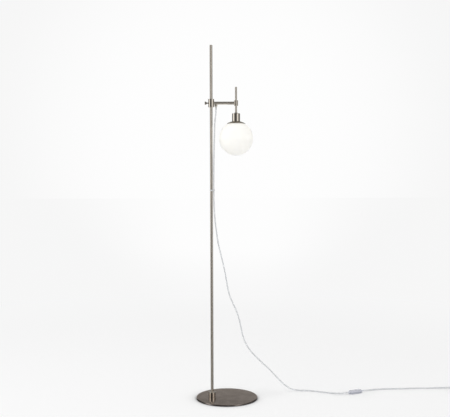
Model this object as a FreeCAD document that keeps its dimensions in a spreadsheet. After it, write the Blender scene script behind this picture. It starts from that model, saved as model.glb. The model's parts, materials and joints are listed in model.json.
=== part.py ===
"""Globe floor lamp: a slim pole on a round plate, a short arm clamped to it, and an opal globe.

Millimetres, +Z up. The origin is the centre of the plate's underside, on the floor.
The arm points along +X, and the pole stands at -X.
"""
import FreeCAD, Part
import math
import os

import Sketcher

Vector = FreeCAD.Vector
UP = Vector(0, 0, 1)

os.makedirs("parts", exist_ok=True)
doc = FreeCAD.newDocument("GlobeFloorLamp")

# ---------------------------------------------------------------- driving sizes
SIZES = {
    # fits: running is a turning or sliding fit, seat the air under a seated piece
    "running": 0.05,
    "seat": 0.2,
    # stand
    "stand_height": 1500,
    "pole_offset": 63,
    "pole_dia": 12,
    "pole_wall": 1,
    "lower_length": 752,
    "joiner_length": 70,
    "pole_cap_high": 2,
    "plug_length": 10,
    "base_dia": 260,
    "base_thick": 5,
    "base_edge": 1.2,
    "pad_inset": 6,
    "pad_thick": 1.5,
    "pad_hole_dia": 26,
    "collar_dia": 30,
    "collar_high": 20,
    "edge": 0.8,
    "insert_length": 30,
    "base_thread": 8,
    "base_head_dia": 15,
    "base_grip": 14,
    # clamp on the pole
    "arm_height": 1256,
    "sleeve_dia": 25,
    "sleeve_tall": 35,
    "sleeve_lip": 1.2,
    "liner_wall": 1.45,
    "liner_slit": 1.5,
    "screw_dia": 6,
    "screw_neck": 6.8,
    "knob_dia": 14,
    "knob_long": 8,
    "tip_long": 2.6,
    # arm, rod and gland
    "arm_reach": 105,
    "arm_dia": 13,
    "arm_wall": 1,
    "end_sleeve_dia": 17,
    "end_sleeve_tall": 23,
    "grub_dia": 4,
    "grub_long": 4,
    "rod_dia": 8.5,
    "rod_wall": 1.25,
    "rod_above": 68,
    "rod_cap_high": 1.5,
    "gland_reach": 20,
    "gland_dia": 12,
    "gland_tall": 9,
    "relief_dia": 8,
    "relief_below": 12,
    # lampholder and its cover
    "cup_drop": 43.5,
    "cup_dia": 34,
    "cup_wall": 1.2,
    "cup_tall": 33,
    "nut_flats": 12,
    "nut_tall": 3.5,
    "holder_dia": 27,
    "holder_wall": 2.5,
    "holder_tall": 39,
    "holder_neck_dia": 14,
    "holder_neck_tall": 8,
    "holder_roof": 5,
    "insert_thick": 10,
    "shell_bore": 14.8,
    "shell_wall": 0.4,
    "shell_tall": 20,
    # globe
    "globe_dia": 144,
    "glass_wall": 3,
    "globe_hole_dia": 48,
    "dish_gap": 0.8,
    "dish_wall": 1.2,
    "dish_dia": 74.4,
    "bead": 1.1,
    "gasket_in": 54,
    "gasket_out": 66,
    "ring_dia": 36,
    "ring_thick": 3,
    "spring_reach": 29,
    "spring_rise": 1.5,
    "spring_thin": 0.6,
    "spring_wide": 6,
    # small lamp in the globe
    "bulb_dia": 45,
    "bulb_long": 78,
    "bulb_wall": 1,
    "bulb_cap_dia": 13.8,
    "bulb_cap_long": 18,
    "thread_deep": 0.5,
    # cord, clip and put-away coil
    "cord_dia": 5.6,
    "core_dia": 1.8,
    "core_bend": 5,
    "clip_height": 888,
    "clip_tall": 6,
    "clip_wall": 1.2,
    "clip_reach": 10,
    "eye_gap": 0.3,
    "coil_width": 62,
    "coil_gap": 0.6,
    "tie_wall": 0.8,
    "tie_wide": 6,
    # switch on the cord
    "switch_long": 60,
    "switch_wide": 20,
    "switch_tall": 14,
    "switch_wall": 1.5,
    "switch_split": 7.5,
    "rocker_long": 18.4,
    "rocker_wide": 9,
    "rocker_high": 4.1,
    "rocker_deep": 0.4,
    "rocker_gap": 0.8,
    "rocker_pin_dia": 2,
    "post_dia": 4.6,
    "shell_screw_dia": 2.4,
    # plug
    "plug_wide": 35,
    "plug_thick": 14,
    "plug_long": 34,
    "plug_relief": 20,
    "plug_pin_dia": 4,
    "plug_pin_long": 19,
    "plug_pin_gap": 19,
}

sheet = doc.addObject("Spreadsheet::Sheet", "Sizes")
for row, (alias, value) in enumerate(SIZES.items(), start=1):
    sheet.set(f"A{row}", alias.replace("_", " "))
    sheet.set(f"B{row}", str(value))
    sheet.setAlias(f"B{row}", alias)
doc.recompute()


class Size:
    """A length that knows its number and its formula in the sheet's cells."""

    def __init__(self, number, formula=None):
        self.number = float(number)
        self.formula = formula or repr(float(number))

    def _with(self, other, sign, number):
        return Size(number, f"({self.formula} {sign} {size(other).formula})")

    def __add__(self, other):
        return self._with(other, "+", self.number + size(other).number)

    def __sub__(self, other):
        return self._with(other, "-", self.number - size(other).number)

    def __mul__(self, other):
        return self._with(other, "*", self.number * size(other).number)

    def __truediv__(self, other):
        return self._with(other, "/", self.number / size(other).number)

    def __neg__(self):
        return size(0) - self

    def root(self):
        return Size(math.sqrt(self.number), f"sqrt({self.formula})")


def size(value):
    return value if isinstance(value, Size) else Size(value)


def cell(alias):
    return Size(getattr(sheet, alias), f"Sizes.{alias}")


S = {alias: cell(alias) for alias in SIZES}

RUN, SEAT = S["running"], S["seat"]


# ---------------------------------------------------------------- helpers
def bind(thing, prop, value):
    """Tie one property of an object to the sheet."""
    thing.setExpression(prop, size(value).formula)


def place(thing, x=0, y=0, z=0, turn=None):
    """Place an object from the sheet; turn is (axis, degrees)."""
    if turn:
        thing.Placement = FreeCAD.Placement(Vector(), FreeCAD.Rotation(*turn))
    for axis, value in zip("xyz", (x, y, z)):
        bind(thing, f"Placement.Base.{axis}", value)
    return thing


def new_body(label):
    body = doc.addObject("PartDesign::Body", label)
    body.Label = label
    return body


def new_sketch(body, role, height=0):
    """A sketch on one of the body's own origin planes, raised by height."""
    sketch = body.newObject("Sketcher::SketchObject", body.Label + "_sketch")
    plane = next(f for f in body.Origin.OriginFeatures if f.Role == role)
    sketch.AttachmentSupport = (plane, [""])
    sketch.MapMode = "FlatFace"
    bind(sketch, "AttachmentOffset.Base.z", height)
    return sketch


def pin(sketch, line, point, x, y):
    """Hold one point of the sketch at (x, y) from the sketch's origin."""
    for kind, axis, value in (("DistanceX", -2, size(x)), ("DistanceY", -1, size(y))):
        if value.number == 0:
            sketch.addConstraint(Sketcher.Constraint("PointOnObject", line, point, axis))
            continue
        held = Sketcher.Constraint(kind, -1, 1, line, point, value.number)
        index = sketch.addConstraint(held)
        bind(sketch, f"Constraints[{index}]", value)


def outline(sketch, corners):
    """A closed outline of straight sides, with every corner tied to the sheet."""
    points = [Vector(size(x).number, size(y).number, 0) for x, y in corners]
    first, count = sketch.GeometryCount, len(points)
    for start, end in zip(points, points[1:] + points[:1]):
        sketch.addGeometry(Part.LineSegment(start, end))
    for i in range(count):
        after = first + (i + 1) % count
        sketch.addConstraint(Sketcher.Constraint("Coincident", first + i, 2, after, 1))
    for i, (x, y) in enumerate(corners):
        pin(sketch, first + i, 1, x, y)


def circle(sketch, radius, x=0, y=0):
    centre = Vector(size(x).number, size(y).number, 0)
    round_line = sketch.addGeometry(Part.Circle(centre, UP, size(radius).number))
    pin(sketch, round_line, 3, x, y)
    held = Sketcher.Constraint("Radius", round_line, size(radius).number)
    bind(sketch, f"Constraints[{sketch.addConstraint(held)}]", radius)


def pad(body, sketch, length, both=False):
    feature = body.newObject("PartDesign::Pad", body.Label + "_pad")
    feature.Profile = sketch
    feature.SideType = "Symmetric" if both else "One side"
    bind(feature, "Length", length)
    sketch.Visibility = False
    return feature


def pocket(body, sketch, length, both=False, flip=False):
    """Cut the sketch's shape out, and make sure that it cuts something."""
    doc.recompute()
    before = body.Shape.Volume
    feature = body.newObject("PartDesign::Pocket", body.Label + "_pocket")
    feature.Profile = sketch
    feature.SideType = "Symmetric" if both else "One side"
    feature.Reversed = flip
    bind(feature, "Length", length)
    doc.recompute()
    if body.Shape.Volume > before - 1e-3:
        raise ValueError(f"{feature.Label} cuts nothing")
    return feature


def turned(label, corners):
    """A piece made on a lathe: an outline of (radius, height) turned about Z."""
    body = new_body(label)
    sketch = new_sketch(body, "XZ_Plane")
    outline(sketch, corners)
    feature = body.newObject("PartDesign::Revolution", label + "_turn")
    feature.Profile = sketch
    feature.ReferenceAxis = (sketch, ["V_Axis"])
    feature.Angle = 360
    return body


def rims(body, radius, height):
    """The last feature of body, with its round edges of that radius and height."""
    doc.recompute()
    feature = body.Tip
    found = []
    for number, line in enumerate(feature.Shape.Edges, start=1):
        curve = line.Curve
        if not hasattr(curve, "Radius") or not hasattr(curve, "Center"):
            continue
        same = abs(curve.Radius - size(radius).number) < 0.01
        if same and abs(curve.Center.z - size(height).number) < 0.01:
            found.append(f"Edge{number}")
    if not found:
        raise ValueError(f"{body.Label} has no such rim")
    return feature, found


def soften(body, kind, amount, *where):
    """Fillet or chamfer the rims at each (radius, height) of where."""
    for radius, height in where:
        edges = rims(body, radius, height)
        feature = body.newObject("PartDesign::" + kind, body.Label + "_" + kind.lower())
        feature.Base = edges
        bind(feature, "Radius" if kind == "Fillet" else "Size", amount)
    doc.recompute()
    return body


def tube(label, outer, inner, length, both=False):
    """A straight tube along Z, from its own origin or about it."""
    body = new_body(label)
    sketch = new_sketch(body, "XY_Plane")
    circle(sketch, outer)
    circle(sketch, inner)
    pad(body, sketch, length, both)
    return body


def solid(kind, label, **sizes):
    thing = doc.addObject("Part::" + kind, label)
    thing.Label = label
    for prop, value in sizes.items():
        bind(thing, prop, value)
    return thing


def joined(label, *pieces):
    thing = doc.addObject("Part::MultiFuse", label)
    thing.Shapes = list(pieces)
    thing.Label = label
    return thing


def cut(label, base, *tools):
    thing = doc.addObject("Part::Cut", label)
    thing.Base = base
    thing.Tool = tools[0] if len(tools) == 1 else joined(label + "_tools", *tools)
    thing.Label = label
    return thing


def common(label, base, tool):
    thing = doc.addObject("Part::Common", label)
    thing.Base = base
    thing.Tool = tool
    thing.Label = label
    return thing


SIDEWAYS = (Vector(0, 1, 0), 90)
BACKWARDS = (Vector(0, 1, 0), -90)

# ---------------------------------------------------------------- heights and radii
POLE_X = -S["pole_offset"]
POLE_R = S["pole_dia"] / 2
BORE_R = POLE_R - S["pole_wall"]
PLATE_TOP = S["pad_thick"] + S["base_thick"]
JOINT_Z = PLATE_TOP + S["lower_length"]
UPPER_LENGTH = S["stand_height"] - S["pole_cap_high"] - JOINT_Z

ARM_Z = S["arm_height"]
ARM_R = S["arm_dia"] / 2
ARM_BORE = ARM_R - S["arm_wall"]
ROD_X = POLE_X + S["arm_reach"]
ROD_R = S["rod_dia"] / 2
ROD_BORE = ROD_R - S["rod_wall"]
SLEEVE_R = S["sleeve_dia"] / 2
END_R = S["end_sleeve_dia"] / 2

# heights in the lampholder, from the arm's axis
CUP_TOP = -S["cup_drop"]
CUP_END = CUP_TOP - S["cup_tall"]
NECK_TOP = CUP_TOP - S["cup_wall"]
NECK_END = NECK_TOP - S["holder_neck_tall"]
HOLDER_END = NECK_END - S["holder_tall"]
INSERT_TOP = NECK_END - S["holder_roof"]
INSERT_END = INSERT_TOP - S["insert_thick"]

# the globe hangs under the dish, and the dish under the cup
GLOBE_R = S["globe_dia"] / 2
DISH_IN = GLOBE_R + S["dish_gap"]
DISH_OUT = DISH_IN + S["dish_wall"]
CUP_FOOT = S["cup_dia"] / 2 - S["cup_wall"]
GLOBE_Z = CUP_END - (DISH_OUT * DISH_OUT - CUP_FOOT * CUP_FOOT).root() - RUN


# ---------------------------------------------------------------- stand
def make_base():
    hole_x = POLE_X
    pad_body = new_body("base_pad")
    sketch = new_sketch(pad_body, "XY_Plane")
    circle(sketch, S["base_dia"] / 2 - S["pad_inset"])
    circle(sketch, S["pad_hole_dia"] / 2, hole_x)
    pad(pad_body, sketch, S["pad_thick"])

    plate = new_body("base_plate")
    sketch = new_sketch(plate, "XY_Plane")
    circle(sketch, S["base_dia"] / 2)
    circle(sketch, S["base_thread"] / 2 + SEAT, hole_x)
    pad(plate, sketch, S["base_thick"])
    soften(plate, "Fillet", S["base_edge"], (S["base_dia"] / 2, S["base_thick"]))
    soften(plate, "Fillet", S["base_edge"] / 2, (S["base_dia"] / 2, 0))
    sink = (S["base_head_dia"] - S["base_thread"]) / 2
    soften(plate, "Chamfer", sink, (S["base_thread"] / 2 + SEAT, 0))
    place(plate, z=S["pad_thick"])

    thread, head = S["base_thread"] / 2, S["base_head_dia"] / 2
    screw = turned("base_screw", [
        (0, 0), (head, 0), (thread, sink), (thread, S["base_thick"] + S["base_grip"]),
        (0, S["base_thick"] + S["base_grip"]),
    ])
    place(screw, hole_x, 0, S["pad_thick"])

    insert = turned("foot_insert", [
        (thread + RUN, 0), (BORE_R - RUN, 0), (BORE_R - RUN, S["insert_length"]),
        (0, S["insert_length"]), (0, S["base_grip"] + 2), (thread + RUN, S["base_grip"] + 2),
    ])
    place(insert, POLE_X, 0, PLATE_TOP)

    collar = tube("foot_collar", S["collar_dia"] / 2, POLE_R + RUN, S["collar_high"])
    soften(collar, "Fillet", S["edge"], (S["collar_dia"] / 2, S["collar_high"]))
    place(collar, POLE_X, 0, PLATE_TOP)


def make_pole():
    lower = tube("pole_lower", POLE_R, BORE_R, S["lower_length"])
    soften(lower, "Chamfer", S["edge"] / 2, (POLE_R, S["lower_length"]))
    place(lower, POLE_X, 0, PLATE_TOP)

    upper = tube("pole_upper", POLE_R, BORE_R, UPPER_LENGTH)
    soften(upper, "Chamfer", S["edge"] / 2, (POLE_R, 0))
    place(upper, POLE_X, 0, JOINT_Z)

    half = S["joiner_length"] / 2
    joiner = turned("pole_joiner", [
        (0, -half), (BORE_R - S["edge"], -half), (BORE_R - RUN, -half + S["edge"]),
        (BORE_R - RUN, half - S["edge"]), (BORE_R - S["edge"], half), (0, half),
    ])
    place(joiner, POLE_X, 0, JOINT_Z)

    top = turned("pole_cap", [
        (0, -S["plug_length"]), (BORE_R - RUN, -S["plug_length"]), (BORE_R - RUN, 0),
        (POLE_R, 0), (POLE_R, S["pole_cap_high"]), (0, S["pole_cap_high"]),
    ])
    soften(top, "Fillet", S["edge"], (POLE_R, S["pole_cap_high"]))
    place(top, POLE_X, 0, S["stand_height"] - S["pole_cap_high"])


def make_clip():
    """A snap clip: a ring round the pole, and beside it an open eye for the cord."""
    eye_r = S["cord_dia"] / 2 + S["eye_gap"]
    tall, reach, wall = S["clip_tall"], S["clip_reach"], S["clip_wall"]
    ring = solid("Cylinder", "clip_ring", Radius=POLE_R + RUN + wall, Height=tall)
    eye = place(solid("Cylinder", "clip_eye", Radius=eye_r + wall, Height=tall), reach)
    pole_hole = solid("Cylinder", "clip_pole_hole", Radius=POLE_R + RUN, Height=tall)
    cord_hole = place(solid("Cylinder", "clip_cord_hole", Radius=eye_r, Height=tall), reach)
    mouth = solid("Box", "clip_mouth", Length=eye_r + wall, Width=eye_r, Height=tall)
    place(mouth, reach, -(eye_r / 2), 0)
    clip = cut("cord_clip", joined("clip_blank", ring, eye), pole_hole, cord_hole, mouth)
    place(clip, POLE_X, 0, S["clip_height"] - tall / 2)


# ---------------------------------------------------------------- clamp
LINER_R = POLE_R + RUN + S["liner_wall"]
TIP_FACE = LINER_R + RUN * 2


def make_clamp():
    half, lip = S["sleeve_tall"] / 2, S["sleeve_lip"]
    sleeve = turned("clamp_sleeve", [
        (LINER_R + RUN, -half + lip), (POLE_R + SEAT, -half + lip), (POLE_R + SEAT, -half),
        (SLEEVE_R, -half), (SLEEVE_R, half), (LINER_R + RUN, half),
    ])
    soften(sleeve, "Chamfer", S["edge"], (SLEEVE_R, half), (SLEEVE_R, -half))
    hole = new_sketch(sleeve, "YZ_Plane")
    circle(hole, S["screw_dia"] / 2 + RUN)
    pocket(sleeve, hole, SLEEVE_R)
    place(sleeve, POLE_X, 0, ARM_Z)

    long = S["sleeve_tall"] - lip * 2
    liner = tube("sleeve_liner", LINER_R, POLE_R + RUN, long, both=True)
    slit = new_sketch(liner, "XY_Plane")
    side = S["liner_slit"] / 2
    outline(slit, [(-side, 0), (side, 0), (side, SLEEVE_R), (-side, SLEEVE_R)])
    pocket(liner, slit, long * 2, both=True)
    place(liner, POLE_X, 0, ARM_Z)

    screw_r = S["screw_dia"] / 2
    blank = solid("Cylinder", "pad_blank", Radius=screw_r, Height=TIP_FACE + S["tip_long"])
    place(blank, turn=BACKWARDS)
    hollow = solid("Cylinder", "pad_hollow", Radius=TIP_FACE, Height=S["screw_dia"] * 2)
    place(hollow, z=-S["screw_dia"])
    place(cut("clamp_pad", blank, hollow), POLE_X, 0, ARM_Z)

    tip = TIP_FACE + S["tip_long"]
    neck = SLEEVE_R + S["screw_neck"] - tip
    end = neck + S["knob_long"]
    knob_r, edge = S["knob_dia"] / 2, S["edge"]
    screw = turned("thumb_screw", [
        (0, 0), (screw_r - edge / 2, 0), (screw_r, edge / 2), (screw_r, neck),
        (screw_r + edge, neck), (knob_r, neck + S["knob_long"] / 3), (knob_r, end - edge),
        (knob_r - edge, end), (0, end),
    ])
    flute = new_sketch(screw, "XY_Plane", end)
    circle(flute, edge / 2, knob_r)
    first = pocket(screw, flute, S["knob_long"] * 2 / 3)
    flutes = screw.newObject("PartDesign::PolarPattern", "thumb_screw_flutes")
    flutes.Originals = [first]
    flutes.Axis = (flute, ["N_Axis"])
    flutes.Angle = 360
    flutes.Occurrences = 24
    screw.Tip = flutes
    place(screw, POLE_X - tip, 0, ARM_Z, turn=BACKWARDS)


# ---------------------------------------------------------------- arm and rod
def make_arm():
    arm = new_body("arm_tube")
    sketch = new_sketch(arm, "YZ_Plane")
    circle(sketch, ARM_R)
    circle(sketch, ARM_BORE)
    pad(arm, sketch, S["arm_reach"])
    ends = new_sketch(arm, "XY_Plane")
    circle(ends, SLEEVE_R + RUN)
    circle(ends, END_R + RUN, S["arm_reach"])
    pocket(arm, ends, S["arm_dia"] * 2, both=True)
    below = new_sketch(arm, "XY_Plane")
    circle(below, S["relief_dia"] / 2 + RUN, S["gland_reach"])
    pocket(arm, below, ARM_R)
    place(arm, POLE_X, 0, ARM_Z)

    end = tube("arm_end_sleeve", END_R, ROD_R + RUN, S["end_sleeve_tall"], both=True)
    half = S["end_sleeve_tall"] / 2
    soften(end, "Chamfer", S["edge"], (END_R, half), (END_R, -half))
    cores = new_sketch(end, "YZ_Plane")
    circle(cores, S["core_dia"] * 2)
    pocket(end, cores, END_R)
    grub = new_sketch(end, "YZ_Plane")
    circle(grub, S["grub_dia"] / 2 + RUN)
    pocket(end, grub, END_R, flip=True)
    place(end, ROD_X, 0, ARM_Z)

    set_screw = turned("rod_grub_screw", [
        (0, 0), (S["grub_dia"] / 2, 0), (S["grub_dia"] / 2, S["grub_long"]),
        (S["grub_dia"] / 4, S["grub_long"]), (S["grub_dia"] / 4, S["grub_long"] / 2),
        (0, S["grub_long"] / 2),
    ])
    place(set_screw, ROD_X + ROD_R + RUN, 0, ARM_Z, turn=SIDEWAYS)


def make_rod():
    rod_top = S["rod_above"] - S["rod_cap_high"]
    rod = tube("hanger_rod", ROD_R, ROD_BORE, rod_top - NECK_END)
    window = new_sketch(rod, "YZ_Plane")
    circle(window, ROD_BORE, 0, -NECK_END)
    pocket(rod, window, ROD_R)
    place(rod, ROD_X, 0, ARM_Z + NECK_END)

    top = turned("rod_cap", [
        (0, -S["plug_length"]), (ROD_BORE - RUN, -S["plug_length"]), (ROD_BORE - RUN, 0),
        (ROD_R, 0), (ROD_R, S["rod_cap_high"]), (0, S["rod_cap_high"]),
    ])
    soften(top, "Fillet", S["edge"], (ROD_R, S["rod_cap_high"]))
    place(top, ROD_X, 0, ARM_Z + rod_top)

    nut = new_body("cup_nut")
    sketch = new_sketch(nut, "XY_Plane")
    across = S["nut_flats"] / 2
    corner = S["nut_flats"] / math.sqrt(3)
    outline(sketch, [
        (corner, 0), (corner / 2, across), (-(corner / 2), across),
        (-corner, 0), (-(corner / 2), -across), (corner / 2, -across),
    ])
    circle(sketch, ROD_R + RUN)
    pad(nut, sketch, S["nut_tall"])
    place(nut, ROD_X, 0, ARM_Z + CUP_TOP)


def make_gland():
    """The nut is a saddle under the arm, and the relief tapers down to the cord."""
    top, tall = ARM_R / 2, S["gland_tall"]
    low = -ARM_R - tall
    taper = tall / 5
    barrel = solid("Cylinder", "gland_barrel", Radius=S["gland_dia"] / 2,
                   Height=top * -1 - low - taper)
    place(barrel, S["gland_reach"], 0, low + taper)
    nose = solid("Cone", "gland_nose", Radius1=S["gland_dia"] / 2 - taper,
                 Radius2=S["gland_dia"] / 2, Height=taper)
    place(nose, S["gland_reach"], 0, low)
    bore = solid("Cylinder", "gland_bore", Radius=S["relief_dia"] / 2 + RUN, Height=ARM_R * 4)
    place(bore, S["gland_reach"], 0, ARM_R * -3)
    saddle = solid("Cylinder", "gland_saddle", Radius=ARM_R + RUN, Height=S["arm_reach"])
    place(saddle, turn=SIDEWAYS)
    nut = cut("gland_nut", joined("gland_blank", barrel, nose), bore, saddle)
    place(nut, POLE_X, 0, ARM_Z)

    relief_r, cord_r = S["relief_dia"] / 2, S["cord_dia"] / 2
    relief = turned("strain_relief", [
        (0, low - S["relief_below"]), (cord_r + SEAT, low - S["relief_below"]),
        (relief_r, low), (relief_r, -ARM_BORE), (0, -ARM_BORE),
    ])
    place(relief, POLE_X + S["gland_reach"], 0, ARM_Z)


# ---------------------------------------------------------------- lampholder
def ridges(radius, deep, start, length, count):
    """Corners of a threaded wall, going down: crests at radius and roots deep below."""
    step = length / (2 * count)
    return [(radius - deep if i % 2 else radius, start - step * i) for i in range(2 * count + 1)]


def make_lampholder():
    cup = turned("cup_cover", [
        (ROD_R + RUN, -S["cup_wall"]), (CUP_FOOT, -S["cup_wall"]), (CUP_FOOT, -S["cup_tall"]),
        (S["cup_dia"] / 2, -S["cup_tall"]), (S["cup_dia"] / 2, 0), (ROD_R + RUN, 0),
    ])
    soften(cup, "Fillet", S["edge"], (S["cup_dia"] / 2, 0))
    place(cup, ROD_X, 0, ARM_Z + CUP_TOP)

    holder_r, neck_r = S["holder_dia"] / 2, S["holder_neck_dia"] / 2
    inner_r = holder_r - S["holder_wall"]
    holder = turned("lampholder_body", [
        (ROD_R + RUN, NECK_TOP - RUN), (neck_r, NECK_TOP - RUN), (neck_r, NECK_END),
        (holder_r, NECK_END), (holder_r, HOLDER_END), (inner_r, HOLDER_END),
        (inner_r, INSERT_TOP + RUN), (ROD_BORE, INSERT_TOP + RUN), (ROD_BORE, NECK_END - RUN),
        (ROD_R + RUN, NECK_END - RUN),
    ])
    place(holder, ROD_X, 0, ARM_Z)

    insert = solid("Cylinder", "lampholder_insert", Radius=inner_r - RUN,
                   Height=S["insert_thick"])
    place(insert, ROD_X, 0, ARM_Z + INSERT_END)

    shell_r = S["shell_bore"] / 2
    shell = tube("lampholder_shell", shell_r + S["shell_wall"], shell_r, S["shell_tall"])
    place(shell, ROD_X, 0, ARM_Z + INSERT_END - S["shell_tall"])

    tongue = new_body("lampholder_contact")
    sketch = new_sketch(tongue, "XZ_Plane")
    thin, long = S["shell_wall"], S["shell_bore"] / 3
    outline(sketch, [
        (-long, 0), (0, 0), (long / 2, -thin * 4), (long / 2, -thin * 5), (0, -thin),
        (-long, -thin),
    ])
    pad(tongue, sketch, S["shell_bore"] / 4, both=True)
    place(tongue, ROD_X, 0, ARM_Z + INSERT_END)

    glass_in, reach = GLOBE_R - S["glass_wall"], S["spring_reach"]
    tip_z = GLOBE_Z + (glass_in * glass_in - reach * reach).root() - SEAT
    thin, rise, ring_r = S["spring_thin"], S["spring_rise"], S["ring_dia"] / 2
    spring = tube("globe_spring", ring_r, holder_r + RUN, thin)
    arm = new_sketch(spring, "XZ_Plane")
    bent = reach - S["spring_wide"] / 2
    outline(arm, [
        (holder_r + SEAT * 3, 0), (ring_r, 0), (bent, rise), (reach, rise),
        (reach, rise + thin), (bent, rise + thin), (ring_r, thin), (holder_r + SEAT * 3, thin),
    ])
    leaf = pad(spring, arm, S["spring_wide"], both=True)
    leaves = spring.newObject("PartDesign::PolarPattern", "globe_spring_leaves")
    leaves.Originals = [leaf]
    leaves.Axis = (arm, ["V_Axis"])
    leaves.Angle = 360
    leaves.Occurrences = 3
    spring.Tip = leaves
    place(spring, ROD_X, 0, ARM_Z + tip_z - thin - rise)

    ring = tube("shade_ring", ring_r, holder_r + RUN, S["ring_thick"])
    soften(ring, "Chamfer", S["edge"], (ring_r, 0))
    place(ring, ROD_X, 0, ARM_Z + tip_z - thin - rise - S["ring_thick"])


def dome(label, inner, outer, hole, rim):
    """The part of a round shell that lies above its centre, between two radii."""
    shell = cut(label + "_shell", solid("Sphere", label + "_outside", Radius=outer),
                solid("Sphere", label + "_inside", Radius=inner))
    sleeve = cut(label + "_band", solid("Cylinder", label + "_rim", Radius=rim, Height=outer),
                 solid("Cylinder", label + "_hole", Radius=hole, Height=outer))
    return common(label, shell, sleeve)


def make_globe():
    rim = S["dish_dia"] / 2
    middle = DISH_IN + S["dish_wall"] / 2
    dish = dome("dish", DISH_IN, DISH_OUT, S["holder_dia"] / 2 + SEAT, rim)
    bead = solid("Torus", "dish_bead", Radius1=rim, Radius2=S["bead"])
    place(bead, z=(middle * middle - rim * rim).root())
    place(joined("globe_cap", dish, bead), ROD_X, 0, ARM_Z + GLOBE_Z)

    gasket = dome("globe_gasket", GLOBE_R + RUN * 2, DISH_IN - RUN * 2,
                  S["gasket_in"] / 2, S["gasket_out"] / 2)
    place(gasket, ROD_X, 0, ARM_Z + GLOBE_Z)

    hole = solid("Cylinder", "globe_hole", Radius=S["globe_hole_dia"] / 2, Height=GLOBE_R * 2)
    globe = cut("glass_globe", solid("Sphere", "globe_outside", Radius=GLOBE_R),
                solid("Sphere", "globe_inside", Radius=GLOBE_R - S["glass_wall"]), hole)
    place(globe, ROD_X, 0, ARM_Z + GLOBE_Z)


def make_bulb():
    """Heights from the contact at the bulb's top: its metal cap, then the round glass."""
    tip = S["bulb_cap_dia"] / 6
    cap_r, cap_end = S["bulb_cap_dia"] / 2, -S["bulb_cap_long"]
    thread = ridges(cap_r, S["thread_deep"], -tip * 2, S["bulb_cap_long"] - tip * 2, 5)
    cap = turned("bulb_base", [(0, 0), (tip, 0), (tip, -tip / 2)] + thread + [(0, cap_end)])
    top = ARM_Z + INSERT_END - S["shell_wall"] * 5 - RUN
    place(cap, ROD_X, 0, top)

    glass_r = S["bulb_dia"] / 2
    centre = S["bulb_long"] - glass_r
    shoulder = glass_r * 0.9
    shoulder_z = centre - (glass_r * glass_r - shoulder * shoulder).root()

    def skin(name, inset):
        ball = solid("Sphere", name + "_ball", Radius=glass_r - inset)
        cone = solid("Cone", name + "_cone", Radius1=shoulder - inset, Radius2=cap_r - inset,
                     Height=shoulder_z - S["bulb_cap_long"])
        place(ball, z=-centre)
        place(cone, z=-shoulder_z)
        return joined(name, ball, cone)

    glass = cut("bulb_glass", skin("bulb_outside", size(0)), skin("bulb_inside", S["bulb_wall"]))
    place(glass, ROD_X, 0, top)


# ---------------------------------------------------------------- cords
def rounded(points, bend=None):
    """One wire of straight runs and tangent arcs, with its length and its arcs' radii."""
    points = [Vector(*p) for p in points]
    edges, radii, at = [], [], points[0]
    for before, corner, after in zip(points, points[1:], points[2:]):
        back, ahead = before - corner, after - corner
        half_turn = (math.pi - back.getAngle(ahead)) / 2
        radius = bend or 0.45 * min(back.Length, ahead.Length) / math.tan(half_turn)
        cut_off = radius * math.tan(half_turn)
        back.normalize()
        ahead.normalize()
        start, end = corner + back * cut_off, corner + ahead * cut_off
        inward = (back + ahead).normalize()
        middle = corner + inward * (radius / math.cos(half_turn) - radius)
        edges += [Part.LineSegment(at, start).toShape(), Part.Arc(start, middle, end).toShape()]
        radii.append(radius)
        at = end
    edges.append(Part.LineSegment(at, points[-1]).toShape())
    return Part.Wire(edges), radii


def swept(path, radius):
    edge = path.OrderedEdges[0]
    start = edge.valueAt(edge.FirstParameter)
    along = edge.tangentAt(edge.FirstParameter)
    profile = Part.Wire([Part.makeCircle(radius, start, along)])
    return path.makePipeShell([profile], True, False)


def free_piece(label, shape):
    thing = doc.addObject("Part::Feature", label)
    thing.Label = label
    thing.Shape = shape
    thing.Placement = FreeCAD.Placement()
    return thing


def cord(label, points, radius=S["cord_dia"].number / 2, bend=None):
    path, radii = rounded(points, bend)
    shape = swept(path, radius)
    right = math.pi * radius**2 * path.Length
    print(f"{label}: {path.Length:.0f} mm long, least radius {min(radii or [0]):.0f} mm, "
          f"volume {shape.Volume / right:.4f} of section times length")
    if abs(shape.Volume / right - 1) > 0.01:
        raise ValueError(f"{label} is not a clean tube")
    return free_piece(label, shape)


CORD_R = S["cord_dia"].number / 2
GLAND_X = (POLE_X + S["gland_reach"]).number
GLAND_END = (ARM_Z - ARM_R - S["gland_tall"] - S["relief_below"]).number
CLIP_X = (POLE_X + S["clip_reach"]).number

# The route that the free cord hangs and lies along, chosen by hand from the photograph.
SWING_POINTS = [
    (GLAND_X, 0, GLAND_END), (GLAND_X, 0, 1205), (-46.4, 0.3, 1180), (-48.2, 0.2, 1154),
    (-49.1, 0, 1130),
]
SLIDE_POINTS = [
    SWING_POINTS[-1], (-50.0, -0.2, 1106), (-51.2, 0.2, 1062), (-52.5, 0.3, 1004),
    (CLIP_X, 0, 950), (CLIP_X, 0, 908),
]
DROP_POINTS = [
    SLIDE_POINTS[-1], (CLIP_X, 0, 874), (-52.4, 0.5, 832), (-50.6, 1, 792), (-47.6, 2, 753),
    (-42, 3.5, 709), (-35.5, 5, 662), (-24, 9, 614), (-11.5, 12.5, 563), (-2, 15.5, 513),
    (4, 17, 472), (12, 19.5, 439), (25, 23.5, 405), (42, 28.5, 371), (54.5, 32, 331),
    (62.5, 34.5, 292), (70, 37, 256), (84, 41, 220), (107, 48, 186), (137, 57, 154),
    (171, 67, 120), (203, 77, 87), (228, 84.5, 57), (254, 92.5, 30), (282, 100.5, 10),
    (316, 105, CORD_R), (341, 102, CORD_R),
]
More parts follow.
